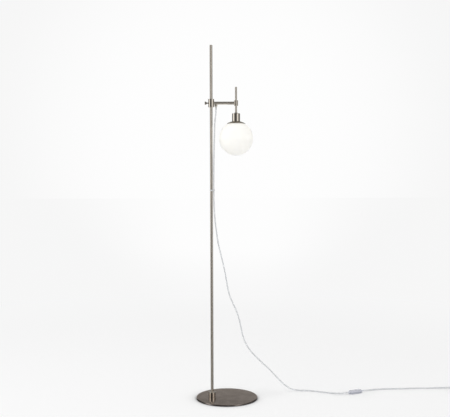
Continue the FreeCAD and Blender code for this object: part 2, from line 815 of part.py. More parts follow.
FLOOR_POINTS = [
    DROP_POINTS[-1], (366, 99, CORD_R), (401, 84, CORD_R), (437, 67, CORD_R),
    (470, 53, CORD_R + 0.3), (494, 45, 4.9), (514.3, 43.71, 7.5), (532.58, 51.83, 7.5),
]
LEAD_POINTS = [
    (587.42, 76.17, 7.5), (605.7, 84.29, 7.5), (632, 105, CORD_R + 0.6), (664, 119, CORD_R),
    (706, 125, CORD_R), (762, 127, CORD_R), (820, 133, CORD_R), (880, 134, CORD_R),
    (935, 139, CORD_R), (985, 139, 4.1), (1034.4, 139, 4.1),
]


def make_cords():
    cord("cord_top", SWING_POINTS)
    cord("cord_mid", SLIDE_POINTS)
    cord("cord_drop", DROP_POINTS)
    cord("cord_floor", FLOOR_POINTS)
    cord("cord_lead", LEAD_POINTS)


def make_cores():
    """The two cores run from the gland along the arm and down the rod to the lampholder."""
    bore_low = (ARM_Z - ARM_BORE).number
    end = (ARM_Z + INSERT_TOP).number
    arm_z, rod_x, core_r = ARM_Z.number, ROD_X.number, S["core_dia"].number / 2
    side = core_r + S["seat"].number
    for label, y in (("live_wire", side), ("neutral_wire", -side)):
        points = [(GLAND_X, y, bore_low), (GLAND_X, y, arm_z), (rod_x, y, arm_z), (rod_x, y, end)]
        cord(label, points, core_r, S["core_bend"].number)


# ---------------------------------------------------------------- coil
COIL_TURNS = 4.25
CLIMB_TURNS = 0.5
COIL_STEP = (S["cord_dia"] + S["coil_gap"]).number
COIL_LOW = LEAD_POINTS[-1][2]
COIL_OUT = S["coil_width"].number / 2 + COIL_STEP * COIL_TURNS / 4
COIL_START = (LEAD_POINTS[-1][0] + S["cord_dia"].number, LEAD_POINTS[-1][1])
COIL_CENTRE = (COIL_START[0], COIL_START[1] - COIL_OUT)


def coil_point(turn):
    """Clockwise seen from above: in on the lower layer, up, and out on the upper one."""
    from_middle = turn - COIL_TURNS / 2
    reach = COIL_OUT - COIL_STEP * (COIL_TURNS / 2 - abs(from_middle))
    climb = min(max(from_middle / CLIMB_TURNS + 0.5, 0), 1)
    height = COIL_LOW + COIL_STEP * (1 - math.cos(math.pi * climb)) / 2
    angle = math.pi / 2 - 2 * math.pi * turn
    return Vector(COIL_CENTRE[0] + reach * math.cos(angle),
                  COIL_CENTRE[1] + reach * math.sin(angle), height)


def coil_heading(turn):
    step = 0.001
    return (coil_point(turn + step) - coil_point(turn - step)).normalize()


def arc_from(start, along, end):
    """The arc from start to end that leaves start along a given direction."""
    chord = end - start
    flat = Vector(chord).normalize()
    aside = along - flat * along.dot(flat)
    if aside.Length < 1e-9:
        return Part.LineSegment(start, end).toShape()
    rise = chord.Length / 2 * math.tan(along.getAngle(flat) / 2)
    return Part.Arc(start, (start + end) / 2 + aside.normalize() * rise, end).toShape()


def biarc(start, leaving, end, arriving):
    """Two arcs that meet with one tangent, between two points with given headings."""
    gap, both = end - start, leaving + arriving
    bend = 2 * (1 - leaving.dot(arriving))
    along = gap.dot(both)
    if bend < 1e-9:
        reach = gap.dot(gap) / (2 * along)
    else:
        reach = (-along + math.sqrt(along**2 + bend * gap.dot(gap))) / bend
    meet = (start + leaving * reach + end - arriving * reach) / 2
    back = arc_from(end, arriving * -1, meet)
    return [arc_from(start, leaving, meet), back]


def make_coil():
    corners = [i / 4 for i in range(int(COIL_TURNS * 4) + 1)]
    if COIL_TURNS / 2 not in corners:
        corners = sorted(corners + [COIL_TURNS / 2])
    places = [coil_point(t) for t in corners]
    headings = [Vector(1, 0, 0)] + [coil_heading(t) for t in corners[1:-1]] + [Vector(0, -1, 0)]
    dia = S["cord_dia"].number
    edges = [Part.LineSegment(places[0] - headings[0] * dia, places[0]).toShape()]
    for i in range(len(places) - 1):
        edges += biarc(places[i], headings[i], places[i + 1], headings[i + 1])
    edges.append(Part.LineSegment(places[-1], places[-1] + headings[-1] * dia).toShape())
    path = Part.Wire(Part.__sortEdges__(edges))

    steps = 60
    trail = [coil_point(i / steps) for i in range(int(COIL_TURNS * steps) + 1)]
    apart = min((a - b).Length for i, a in enumerate(trail) for b in trail[i + steps // 2:])
    print(f"cord_coil: {path.Length:.0f} mm, least gap to itself {apart - dia:.2f} mm")
    if apart - dia <= 0.4:
        raise ValueError("the coil's turns are too close")
    free_piece("cord_coil", swept(path, dia / 2))
    return places[-1] + headings[-1] * dia


def make_tie():
    """A flat band round the bundle, on the side where the turns lie two by two."""
    inner, outer = COIL_OUT - COIL_STEP * 1.625, COIL_OUT - COIL_STEP * 0.625
    clear = CORD_R + S["eye_gap"].number
    low = COIL_LOW - clear
    tall = COIL_STEP + 2 * clear
    wall, wide = S["tie_wall"].number, S["tie_wide"].number

    def bar(grow, across):
        box = Part.makeBox(outer - inner + 2 * (clear + grow), across, tall + 2 * grow)
        box.translate(Vector(inner - clear - grow, -across / 2, low - grow))
        return box

    band = bar(wall, wide).cut(bar(0, wide * 2))
    thing = free_piece("coil_tie", band)
    turn = FreeCAD.Rotation(UP, 225)
    thing.Placement = FreeCAD.Placement(Vector(*COIL_CENTRE, 0), turn)


# ---------------------------------------------------------------- switch
SWITCH_AT = (560, 64)
SWITCH_TURN = 23.94
TILT = 8
PIVOT_X = S["switch_long"] / 5
PIVOT_Z = S["switch_tall"] - S["switch_wall"] - S["rocker_pin_dia"] / 2 - SEAT


def lozenge(inset=0):
    """The casing's outline from above: a bar whose ends narrow to the cord."""
    end, side = S["switch_long"] / 2 - inset, S["switch_wide"] / 2 - inset
    nose, waist = S["switch_wide"] / 4 - inset / 2 + 0.5, S["switch_long"] * 0.36
    return [(end, -nose), (end, nose), (waist, side), (-waist, side), (-end, nose),
            (-end, -nose), (-waist, -side), (waist, -side)]


def on_cord(thing, x=0, y=0, z=0, tilt=0):
    """Place a piece in the switch's own frame, which lies turned on the floor."""
    turn = FreeCAD.Rotation(UP, SWITCH_TURN)
    spot = turn.multVec(Vector(size(x).number, size(y).number, 0))
    swing = turn * FreeCAD.Rotation(Vector(0, 1, 0), tilt)
    thing.Placement = FreeCAD.Placement(Vector(), swing)
    for axis, value in (("x", SWITCH_AT[0] + spot.x), ("y", SWITCH_AT[1] + spot.y), ("z", z)):
        bind(thing, f"Placement.Base.{axis}", value)


POSTS = [(-6, 5.6), (-6, -5.6)]


def make_switch():
    wall, split = S["switch_wall"], S["switch_split"]
    post_r, screw_r = S["post_dia"] / 2, S["shell_screw_dia"] / 2

    base = new_body("switch_base")
    sketch = new_sketch(base, "XY_Plane")
    outline(sketch, lozenge())
    pad(base, sketch, split)
    room = new_sketch(base, "XY_Plane", split)
    outline(room, lozenge(wall))
    pocket(base, room, split - wall)
    pillars = new_sketch(base, "XY_Plane")
    for x, y in POSTS:
        circle(pillars, post_r, x, y)
    pad(base, pillars, split)
    holes = new_sketch(base, "XY_Plane", split)
    for x, y in POSTS:
        circle(holes, screw_r + RUN, x, y)
    pocket(base, holes, split)
    on_cord(base)

    cover = new_body("switch_cover")
    sketch = new_sketch(cover, "XY_Plane")
    outline(sketch, lozenge())
    pad(cover, sketch, S["switch_tall"] - split)
    room = new_sketch(cover, "XY_Plane")
    outline(room, lozenge(wall))
    pocket(cover, room, S["switch_tall"] - split - wall, flip=True)
    window = new_sketch(cover, "XY_Plane")
    half = S["rocker_long"] / 2 + S["rocker_gap"]
    side = S["rocker_wide"] / 2 + S["eye_gap"]
    outline(window, [(PIVOT_X - half, -side), (PIVOT_X + half, -side),
                     (PIVOT_X + half, side), (PIVOT_X - half, side)])
    pocket(cover, window, S["switch_tall"] * 2, both=True)
    pillars = new_sketch(cover, "XY_Plane")
    for x, y in POSTS:
        circle(pillars, post_r, x, y)
    pad(cover, pillars, S["switch_tall"] - split)
    holes = new_sketch(cover, "XY_Plane")
    for x, y in POSTS:
        circle(holes, screw_r + RUN, x, y)
    pocket(cover, holes, S["switch_tall"] - split - wall, flip=True)
    on_cord(cover, z=split)

    rocker = new_body("switch_rocker")
    sketch = new_sketch(rocker, "XZ_Plane")
    half, pin_r = S["rocker_long"] / 2, S["rocker_pin_dia"] / 2
    high, deep = S["rocker_high"], S["rocker_deep"]
    outline(sketch, [
        (-half, -deep), (pin_r * -2, pin_r * -2.4), (pin_r * 2, pin_r * -2.4), (half, -deep),
        (half, high), (half / 2, high * 0.8), (-(half / 2), high * 0.8), (-half, high),
    ])
    circle(sketch, pin_r + RUN)
    pad(rocker, sketch, S["rocker_wide"], both=True)
    on_cord(rocker, PIVOT_X, 0, PIVOT_Z, tilt=-TILT)

    pin_long = S["switch_wide"] - wall * 2 - SEAT
    axle = new_body("rocker_pin")
    sketch = new_sketch(axle, "XZ_Plane")
    circle(sketch, pin_r)
    pad(axle, sketch, pin_long, both=True)
    on_cord(axle, PIVOT_X, 0, PIVOT_Z)

    contacts = []
    for side in (-1, 1):
        block = solid("Box", "contact_block", Length=7, Width=4, Height=5)
        contacts.append(place(block, -S["switch_long"] / 3, side * 3.6 - 2, wall + RUN))
    pair = doc.addObject("Part::Compound", "switch_contacts")
    pair.Links = contacts
    on_cord(pair)

    screws = []
    for x, y in POSTS:
        screw = solid("Cylinder", "shell_screw", Radius=screw_r,
                      Height=S["switch_tall"] - wall - 0.8)
        screws.append(place(screw, x, y, 0.6))
    pair = doc.addObject("Part::Compound", "switch_screws")
    pair.Links = screws
    on_cord(pair)


# ---------------------------------------------------------------- plug
def make_plug(coil_end):
    """The plug lies flat beside the coil, pins towards -Y, at the end of a short tail."""
    axis_z = S["plug_thick"].number / 2
    tail = [
        tuple(coil_end), tuple(coil_end + Vector(0, -12, 0)),
        (coil_end.x + 2, coil_end.y - 34, axis_z + 0.6), (coil_end.x + 3, coil_end.y - 52, axis_z),
        (coil_end.x + 3, coil_end.y - 66, axis_z),
    ]
    cord("cord_tail", tail)
    front = S["plug_relief"] + S["plug_long"]
    at = tail[-1]
    turn = (UP, -90)

    body = new_body("plug_body")
    sketch = new_sketch(body, "XY_Plane")
    wide, relief = S["plug_wide"] / 2, S["plug_relief"]
    shoulder = front - S["plug_long"] / 3
    outline(sketch, [
        (relief, -(wide / 3)), (relief + 4, -(wide / 2)), (shoulder, -wide), (front - 3, -wide),
        (front, -wide + 3), (front, wide - 3), (front - 3, wide), (shoulder, wide),
        (relief + 4, wide / 2), (relief, wide / 3),
    ])
    pad(body, sketch, S["plug_thick"], both=True)
    cone = new_sketch(body, "XY_Plane")
    cord_r = S["cord_dia"] / 2
    outline(cone, [(0, 0), (0, cord_r + SEAT), (relief + 2, wide / 3), (relief + 2, 0)])
    taper = body.newObject("PartDesign::Revolution", "plug_relief_turn")
    taper.Profile = cone
    taper.ReferenceAxis = (cone, ["H_Axis"])
    taper.Angle = 360
    place(body, at[0], at[1], axis_z, turn=turn)

    pins = []
    pin_r = S["plug_pin_dia"] / 2
    for side in (-1, 1):
        rod = solid("Cylinder", "pin_rod", Radius=pin_r, Height=S["plug_pin_long"] - pin_r)
        tip = solid("Sphere", "pin_tip", Radius=pin_r)
        place(tip, z=S["plug_pin_long"] - pin_r)
        pins.append(place(joined("plug_pin", rod, tip), front, S["plug_pin_gap"] / 2 * side, 0,
                          turn=SIDEWAYS))
    pair = doc.addObject("Part::Compound", "plug_pins")
    pair.Links = pins
    place(pair, at[0], at[1], axis_z, turn=turn)


# ---------------------------------------------------------------- build and write
PARTS = [
    "base_pad", "base_plate", "base_screw", "foot_insert", "foot_collar", "pole_lower",
    "pole_joiner", "pole_upper", "pole_cap", "cord_clip", "sleeve_liner", "clamp_sleeve",
    "clamp_pad", "thumb_screw", "arm_tube", "arm_end_sleeve", "rod_grub_screw", "hanger_rod",
    "rod_cap", "cup_nut", "gland_nut", "strain_relief", "cup_cover", "lampholder_body",
    "lampholder_insert", "lampholder_shell", "lampholder_contact", "globe_spring", "shade_ring",
    "globe_cap",
    "globe_gasket", "glass_globe", "bulb_base", "bulb_glass", "live_wire", "neutral_wire",
    "cord_top", "cord_mid", "cord_drop", "cord_floor", "cord_lead", "cord_coil", "coil_tie",
    "cord_tail", "switch_base", "switch_cover", "switch_rocker", "rocker_pin",
    "switch_contacts", "switch_screws", "plug_body", "plug_pins",
]

make_base()
make_pole()
make_clip()
make_clamp()
make_arm()
make_rod()
make_gland()
make_lampholder()
make_globe()
make_bulb()
make_cords()
make_cores()
tail_start = make_coil()
make_tie()
make_switch()
make_plug(tail_start)
doc.recompute()

for thing in doc.Objects:
    if "Invalid" in thing.State or "Error" in thing.State:
        raise ValueError(f"{thing.Label} failed: {thing.State}")

for name in PARTS:
    thing = doc.getObjectsByLabel(name)[0]
    shape = thing.Shape
    if shape.isNull() or not shape.isValid():
        raise ValueError(f"{name} has no valid shape")
    shape.exportStep(f"parts/{name}.step")
    box = shape.BoundBox
    print(f"{name}: {len(shape.Solids)} solid, {shape.Volume / 1000:.2f} cm3, "
          f"x {box.XMin:.1f} to {box.XMax:.1f}, y {box.YMin:.1f} to {box.YMax:.1f}, "
          f"z {box.ZMin:.1f} to {box.ZMax:.1f}")
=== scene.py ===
# %% [markdown]
# # A globe floor lamp in nickel and opal glass
#
# The lamp is a 12 mm tube on a round plate. A short arm is clamped to the tube, a thin rod hangs
# from the arm, and an opal ball hangs under a small cup. A clear cord leaves the arm, passes a
# clip on the tube, hangs down to the floor and runs to a switch and a plug.
#
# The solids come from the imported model. This lesson dresses them: it makes smooth, softened
# shapes for what shows, gives each piece a finish with its own grain, and lights the whole.

import json
from math import asin, cos, pi, radians, sin, sqrt, tan

import bmesh
import bpy
from mathutils import Matrix, Vector


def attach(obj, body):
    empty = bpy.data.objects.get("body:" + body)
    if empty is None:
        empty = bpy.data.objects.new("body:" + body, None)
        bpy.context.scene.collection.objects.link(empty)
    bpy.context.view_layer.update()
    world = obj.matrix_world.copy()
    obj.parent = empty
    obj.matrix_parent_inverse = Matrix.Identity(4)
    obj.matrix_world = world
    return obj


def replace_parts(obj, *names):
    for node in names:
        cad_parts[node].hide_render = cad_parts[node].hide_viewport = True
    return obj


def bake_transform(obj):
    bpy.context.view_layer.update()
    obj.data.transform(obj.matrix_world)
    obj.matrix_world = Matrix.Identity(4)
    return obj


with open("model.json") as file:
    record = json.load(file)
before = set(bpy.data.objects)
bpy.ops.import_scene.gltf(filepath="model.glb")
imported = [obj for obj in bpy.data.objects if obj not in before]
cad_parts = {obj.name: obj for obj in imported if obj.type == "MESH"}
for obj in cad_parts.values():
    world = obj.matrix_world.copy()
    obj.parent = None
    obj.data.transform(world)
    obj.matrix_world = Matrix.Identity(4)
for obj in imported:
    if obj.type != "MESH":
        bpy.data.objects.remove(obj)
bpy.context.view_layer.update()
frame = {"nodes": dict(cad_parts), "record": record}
scene = bpy.context.scene
scene.view_settings.view_transform = "Standard"
MM = 0.001
print("solids in the frame:", len(frame["nodes"]))

# %% [markdown]
# ## The camera
#
# The picture was taken from the height of a table, 3.2 m away, tilted down by two degrees. The
# plate is a narrow ellipse in it, and its place under the pole's top fixes the height, the tilt
# and the focal length together. The pole leans by a sixth of a degree, so the camera was rolled.

# %% The camera
CAMERA_PLACE = (-0.0056, -3.2388, 0.924)
CAMERA_TILT, CAMERA_ROLL = 88.0, 0.166
CAMERA_LENS = 61.10
camera = bpy.data.objects.new("photo_camera", bpy.data.cameras.new("photo_camera"))
scene.collection.objects.link(camera)
camera.data.sensor_width = 36
camera.data.lens = CAMERA_LENS
camera.location = CAMERA_PLACE
camera.rotation_euler = (radians(CAMERA_TILT), radians(CAMERA_ROLL), 0)
scene.camera = camera
print("camera at", CAMERA_PLACE)

# %% [markdown]
# ## The cord's route
#
# A cord is a fixed length of something springy. It leaves the gland straight down, swings in to
# the clip, keeps its old bends as it falls away from the pole, and lies in lazy curves on the
# floor. The points are in millimetres and are the same as in the solid model, so the drawn cord
# and the solid one share a place. A NURBS spline of order 3 turns them into one smooth line.

# %% Route points
CORD_R = 2.8
swing_points = [
    (-43, 0, 1228.5), (-43, 0, 1213), (-46.6, 0.3, 1190), (-48.6, 0.2, 1160), (-49.1, 0, 1130),
]
slide_points = [
    (-49.1, 0, 1130), (-50.0, -0.2, 1106), (-51.2, 0.2, 1062), (-52.5, 0.3, 1004),
    (-53, 0, 950), (-53, 0, 908),
]
drop_points = [
    (-53, 0, 908), (-53, 0, 874), (-52.4, 0.5, 832), (-50.6, 1, 792), (-47.6, 2, 753),
    (-42, 3.5, 709), (-35.5, 5, 662), (-24, 9, 614), (-11.5, 12.5, 563), (-2, 15.5, 513),
    (4, 17, 472), (12, 19.5, 439), (25, 23.5, 405), (42, 28.5, 371), (54.5, 32, 331),
    (62.5, 34.5, 292), (70, 37, 256), (84, 41, 220), (107, 48, 186), (137, 57, 154),
    (171, 67, 120), (203, 77, 87), (228, 84.5, 57), (254, 92.5, 30), (282, 100.5, 10),
    (316, 105, 2.8), (341, 102, 2.8), (366, 99, 2.8), (401, 84, 2.8), (437, 67, 2.8),
    (470, 53, 3.1), (494, 45, 4.9), (514.3, 43.71, 7.5), (532.58, 51.83, 7.5),
]
lead_points = [
    (587.42, 76.17, 7.5), (605.7, 84.29, 7.5), (632, 105, 3.4), (664, 119, 2.8),
    (706, 125, 2.8), (762, 127, 2.8), (820, 133, 2.8), (880, 134, 2.8), (935, 139, 2.8),
    (985, 139, 4.1), (1034.4, 139, 4.1),
]

# %% [markdown]
# ## The coil that the picture doesn't show
#
# The rest of the lead is put away past the picture's right edge. Its turns spiral in on the
# floor, climb one cord's thickness in half a turn, and spiral out again on top.

# %% Coil points
COIL_TURNS = 4.25
COIL_STEP = 6.2
COIL_OUT = 31 + COIL_STEP * COIL_TURNS / 4
COIL_CENTRE = Vector((1040, 139 - COIL_OUT, 0))


def coil_point(turn):
    """A place on the coil, counted in turns from its start."""
    from_middle = turn - COIL_TURNS / 2
    reach = COIL_OUT - COIL_STEP * (COIL_TURNS / 2 - abs(from_middle))
    climb = min(max(from_middle / 0.5 + 0.5, 0), 1)
    height = 4.1 + COIL_STEP * (1 - cos(pi * climb)) / 2
    angle = pi / 2 - 2 * pi * turn
    return COIL_CENTRE + Vector((reach * cos(angle), reach * sin(angle), height))


coil_points = [tuple(coil_point(i / 16)) for i in range(1, int(COIL_TURNS * 16) + 1)]
coil_end = Vector(coil_points[-1]) + Vector((0, -5.6, 0))
plug_at = coil_end + Vector((3, -66, -3.3))
tail_points = [
    tuple(coil_end), tuple(coil_end + Vector((0, -12, 0))),
    tuple(coil_end + Vector((2, -34, -2.7))), tuple(coil_end + Vector((3, -52, -3.3))),
    tuple(plug_at),
]
print("coil points:", len(coil_points), "plug at", tuple(round(c, 1) for c in plug_at))

# %% [markdown]
# A cord that lies still can stay a curve. The two stretches near the clamp move with it, so they
# are turned into meshes.


# %% Cords
def route(name, points):
    """A smooth line with these points, in millimetres, as its control points."""
    line = bpy.data.curves.new(name, "CURVE")
    line.dimensions = "3D"
    spline = line.splines.new("NURBS")
    spline.points.add(len(points) - 1)
    for point, place in zip(spline.points, points):
        point.co = (place[0] * MM, place[1] * MM, place[2] * MM, 1)
        point.radius = CORD_R * MM
    spline.order_u = 3
    spline.use_endpoint_u = True
    line.resolution_u = 8
    cord = bpy.data.objects.new(name, line)
    scene.collection.objects.link(cord)
    return cord


def centreline(cord):
    """The points that the cord's line runs through, and its length."""
    mesh = bpy.data.meshes.new_from_object(cord)
    points = [v.co.copy() for v in mesh.vertices]
    bpy.data.meshes.remove(mesh)
    return points, sum((b - a).length for a, b in zip(points, points[1:]))


def sheathed(cord):
    cord.data.bevel_depth = 1.0
    cord.data.bevel_resolution = 5
    cord.data.use_fill_caps = True
    return cord


def as_mesh(cord):
    """The same cord as a mesh tube."""
    tube = bpy.data.objects.new(cord.name + "_tube", bpy.data.meshes.new_from_object(cord))
    tube.data.shade_smooth()
    scene.collection.objects.link(tube)
    bpy.data.objects.remove(cord)
    return tube


swing = route("swing_cord", swing_points)
slide = route("slide_cord", slide_points)
drop = sheathed(route("drop_cord", drop_points))
lead = sheathed(route("lead_cord", lead_points + coil_points + tail_points))
swing_path, swing_long = centreline(swing)
slide_path, slide_long = centreline(slide)
swing, slide = as_mesh(sheathed(swing)), as_mesh(sheathed(slide))

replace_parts(swing, "cord_top")
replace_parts(slide, "cord_mid")
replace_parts(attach(drop, "stand"), "cord_drop", "cord_floor")
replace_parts(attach(lead, "stand"), "cord_lead", "cord_coil", "cord_tail")
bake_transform(swing)
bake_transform(slide)
print(f"cord near the clamp: {swing_long:.3f} m and {slide_long:.3f} m")

# %% [markdown]
# ## Finishes
#
# Every finish starts from one Principled shader. What makes it look real is small: grain from a
# polishing belt, faint smears from handling, and a painted highlight along sharp edges. Each of
# these is a node group, built once and given its own values in each material.


# %% Wiring helper
class Wiring:
    """A node tree, with a short way to add nodes and to join them."""

    def __init__(self, tree):
        self.tree = tree

    def add(self, kind, inputs=None, **settings):
        node = self.tree.nodes.new(kind)
        for key, value in settings.items():
            setattr(node, key, value)
        for key, value in (inputs or {}).items():
            self.feed(node.inputs[key], value)
        return node

    def feed(self, socket, value):
        """Join another node's output to this socket, or set its plain value."""
        if isinstance(value, bpy.types.NodeSocket):
            self.join(value, socket)
        else:
            socket.default_value = value

    def place(self):
        return self.add("ShaderNodeTexCoord").outputs["Object"]

    def group(self, name, inputs=None):
        return self.add("ShaderNodeGroup", inputs, node_tree=bpy.data.node_groups[name])

    def join(self, value, socket):
        self.tree.links.new(value, socket)

    def calc(self, operation, first, second=0.0, third=0.0):
        values = {0: first, 1: second, 2: third}
        return self.add("ShaderNodeMath", values, operation=operation).outputs[0]

    def toward(self, share, level, other):
        """The level, moved towards the other by this share."""
        return self.calc("MULTIPLY_ADD", share, self.calc("SUBTRACT", other, level), level)

    def span(self, value, low, high):
        """0 where value is at low, 1 where it is at high, and smooth between."""
        limits = {"Value": value, "From Min": low, "From Max": high}
        node = self.add("ShaderNodeMapRange", limits, interpolation_type="SMOOTHSTEP")
        return node.outputs["Result"]

    def blended(self, share, first, second):
        node = self.add("ShaderNodeMix", data_type="RGBA")
        for key, value in (("Factor", share), ("A", first), ("B", second)):
            self.feed(next(s for s in node.inputs if s.name == key and s.enabled), value)
        return next(s for s in node.outputs if s.enabled)


def fresh(owner):
    """Empty the nodes of a material or a world, and return its wiring."""
    owner.use_nodes = True
    owner.node_tree.nodes.clear()
    return Wiring(owner.node_tree)


def shader_group(name, inputs, outputs):
    """A new group with named sockets; returns its wiring, its input and its output node."""
    tree = bpy.data.node_groups.new(name, "ShaderNodeTree")
    for label, kind, value in inputs:
        socket = tree.interface.new_socket(label, in_out="INPUT", socket_type=kind)
        socket.default_value = value
    for label in outputs:
        tree.interface.new_socket(label, in_out="OUTPUT", socket_type="NodeSocketFloat")
    wiring = Wiring(tree)
    return wiring, wiring.add("NodeGroupInput"), wiring.add("NodeGroupOutput")


# %% [markdown]
# **Grain.** A belt leaves long fine scratches. Noise that is squeezed across one direction and
# stretched along the other looks like them. On turned pieces the scratches run round the axis.

# %% Grain, smears, painted edge highlights
wiring, given, result = shader_group(
    "belt_grain",
    [("Stretch", "NodeSocketVector", (1, 1, 1)), ("Fineness", "NodeSocketFloat", 1000.0)],
    ["Height", "Streak"],
)
place = wiring.place()
drawn = wiring.add("ShaderNodeVectorMath", {0: place, 1: given.outputs["Stretch"]},
                   operation="MULTIPLY")
noise = wiring.add("ShaderNodeTexNoise", {
    "Vector": drawn.outputs[0], "Scale": given.outputs["Fineness"], "Detail": 3.0})
wiring.join(noise.outputs[0], result.inputs["Height"])
wiring.join(wiring.span(noise.outputs[0], 0.38, 0.62), result.inputs["Streak"])

wiring, given, result = shader_group(
    "spun_rings",
    [("Centre", "NodeSocketVector", (0, 0, 0)), ("Fineness", "NodeSocketFloat", 900.0)],
    ["Height", "Streak"],
)
place = wiring.place()
moved = wiring.add("ShaderNodeVectorMath", {0: place, 1: given.outputs["Centre"]},
                   operation="SUBTRACT").outputs[0]
flat = wiring.add("ShaderNodeVectorMath", {0: moved, 1: (1, 1, 0)}, operation="MULTIPLY")
away = wiring.add("ShaderNodeVectorMath", {0: flat.outputs[0]}, operation="LENGTH")
drift = wiring.add("ShaderNodeTexNoise", {"Vector": moved, "Scale": 30.0})
radius = wiring.calc("MULTIPLY_ADD", drift.outputs[0], 0.0012, away.outputs["Value"])
noise = wiring.add("ShaderNodeTexNoise", {"W": radius, "Scale": given.outputs["Fineness"]},
                   noise_dimensions="1D")
wiring.join(noise.outputs[0], result.inputs["Height"])
wiring.join(wiring.span(noise.outputs[0], 0.35, 0.65), result.inputs["Streak"])

wiring, given, result = shader_group(
    "handling",
    [("Smear size", "NodeSocketFloat", 25.0), ("Speck size", "NodeSocketFloat", 1400.0)],
    ["Smear", "Specks"],
)
place = wiring.place()
smear = wiring.add("ShaderNodeTexNoise", {
    "Vector": place, "Scale": given.outputs["Smear size"], "Detail": 5.0, "Distortion": 0.6})
specks = wiring.add("ShaderNodeTexNoise", {"Vector": place, "Scale": given.outputs["Speck size"]})
wiring.join(wiring.span(smear.outputs[0], 0.4, 0.7), result.inputs["Smear"])
wiring.join(wiring.span(specks.outputs[0], 0.66, 0.74), result.inputs["Specks"])

# A painted highlight: sharp edges, found by their pointiness, are lightened in patches as if they
# caught a glint.
wiring, given, result = shader_group(
    "painted_edge_glint", [("Reach", "NodeSocketFloat", 0.06)], ["Edge"])
place = wiring.place()
sharp = wiring.add("ShaderNodeNewGeometry").outputs["Pointiness"]
lifted = wiring.span(sharp, 0.51, wiring.calc("ADD", 0.51, given.outputs["Reach"]))
broken = wiring.add("ShaderNodeTexNoise", {"Vector": place, "Scale": 180.0, "Detail": 3.0})
patchy = wiring.span(broken.outputs[0], 0.3, 0.6)
wiring.join(wiring.calc("MULTIPLY", lifted, patchy), result.inputs["Edge"])
print("shader groups:", [g.name for g in bpy.data.node_groups])


# %% [markdown]
# One recipe then serves all the finishes. It takes the plain colour and roughness, and asks for
# as much grain, smear and speck as the real surface shows, and for a painted highlight on sharp
# edges and painted shade on upright faces where a finish wants them. Numbers that are the same
# all over, such as the coat, are set straight on the shader's own sockets.


# %% The recipe
def paint(red, green, blue):
    """A colour as it looks on the picture, 0 to 255, as the linear colour a shader needs."""
    def linear(value):
        value /= 255
        return value / 12.92 if value <= 0.04045 else ((value + 0.055) / 1.055) ** 2.4
    return (linear(red), linear(green), linear(blue), 1.0)


def shade(colour, amount):
    return tuple(c * amount for c in colour[:3]) + (1.0,)


def finish(name, colour, rough, grain=None, depth=0.0, streak=0.0, smear=0.0, specks=0.0,
           edge=None, side=1.0, **plain):
    """A material; grain is (group name, its inputs), edge is the colour of a painted highlight on
    sharp edges, side paints shade on upright faces, and plain holds constant sockets."""
    material = bpy.data.materials.new(name)
    wiring = fresh(material)
    shader = wiring.add("ShaderNodeBsdfPrincipled")
    output = wiring.add("ShaderNodeOutputMaterial", {"Surface": shader.outputs[0]})
    output.is_active_output = True
    for key, value in plain.items():
        shader.inputs[key.replace("_", " ")].default_value = value

    hands = wiring.group("handling")
    tone, roughness = colour, rough
    if grain:
        cuts = wiring.group(*grain)
        share = wiring.calc("MULTIPLY", cuts.outputs["Streak"], streak)
        tone = wiring.blended(share, tone, shade(colour, 0.6))
        bump = wiring.add("ShaderNodeBump", {
            "Strength": 1.0, "Distance": depth, "Height": cuts.outputs["Height"]})
        wiring.join(bump.outputs[0], shader.inputs["Normal"])
    dirt = wiring.calc("MULTIPLY", hands.outputs["Specks"], specks)
    tone = wiring.blended(dirt, tone, shade(colour, 0.5))
    # Painted shade: upright faces are darkened to side's share of the colour.
    if side < 1:
        facing = wiring.add("ShaderNodeNewGeometry").outputs["Normal"]
        upward = wiring.add("ShaderNodeSeparateXYZ", {0: facing}).outputs[2]
        upright = wiring.span(wiring.calc("SUBTRACT", 1.0, upward), 0.06, 0.35)
        tone = wiring.blended(upright, tone, shade(colour, side))
    # Painted highlight: sharp edges take the lighter edge colour.
    if edge:
        tone = wiring.blended(wiring.group("painted_edge_glint").outputs["Edge"], tone, edge)
    roughness = wiring.calc("MULTIPLY_ADD", hands.outputs["Smear"], smear, rough)
    wiring.join(tone, shader.inputs["Base Color"])
    wiring.join(roughness, shader.inputs["Roughness"])
    return material


# %% [markdown]
# ## Metal
#
# The lamp is nickel all over: a warm grey metal, between satin and polished. The belt ran along
# the tubes and round the turned pieces, and the plate and the dish were spun. The plate looks
# darker than the tubes because a flat mirror on the floor shows the dim ceiling, and its upright
# edge is darkened further with painted shade.

# %% Metal finishes
NICKEL = paint(214, 208, 199)
# BRIGHT is the colour of the painted highlight on sharp edges.
BRIGHT = paint(232, 228, 221)
along_z = ("belt_grain", {"Stretch": (1, 1, 0.02), "Fineness": 2600.0})
along_x = ("belt_grain", {"Stretch": (0.02, 1, 1), "Fineness": 2600.0})
round_z = ("belt_grain", {"Stretch": (0.03, 0.03, 1), "Fineness": 3000.0})
round_x = ("belt_grain", {"Stretch": (1, 0.03, 0.03), "Fineness": 3000.0})
across = ("belt_grain", {"Stretch": (1, 0.03, 1), "Fineness": 2600.0})
on_plate = ("spun_rings", {"Centre": (0, 0, 0), "Fineness": 900.0})
on_dish = ("spun_rings", {"Centre": (0.042, 0, 0), "Fineness": 1500.0})

tube_nickel = finish("tube_nickel", NICKEL, 0.19, along_z, 6e-7, 0.05, 0.02, Metallic=1.0)
arm_nickel = finish("arm_nickel", NICKEL, 0.17, along_x, 6e-7, 0.05, 0.02, Metallic=1.0)
turned_nickel = finish("turned_nickel", NICKEL, 0.08, round_z, 8e-7, 0.08, 0.03, edge=BRIGHT,
                       Metallic=1.0)
screw_nickel = finish("screw_nickel", paint(168, 164, 158), 0.18, round_x, 8e-7, 0.08, 0.04,
                      edge=NICKEL, Metallic=1.0)
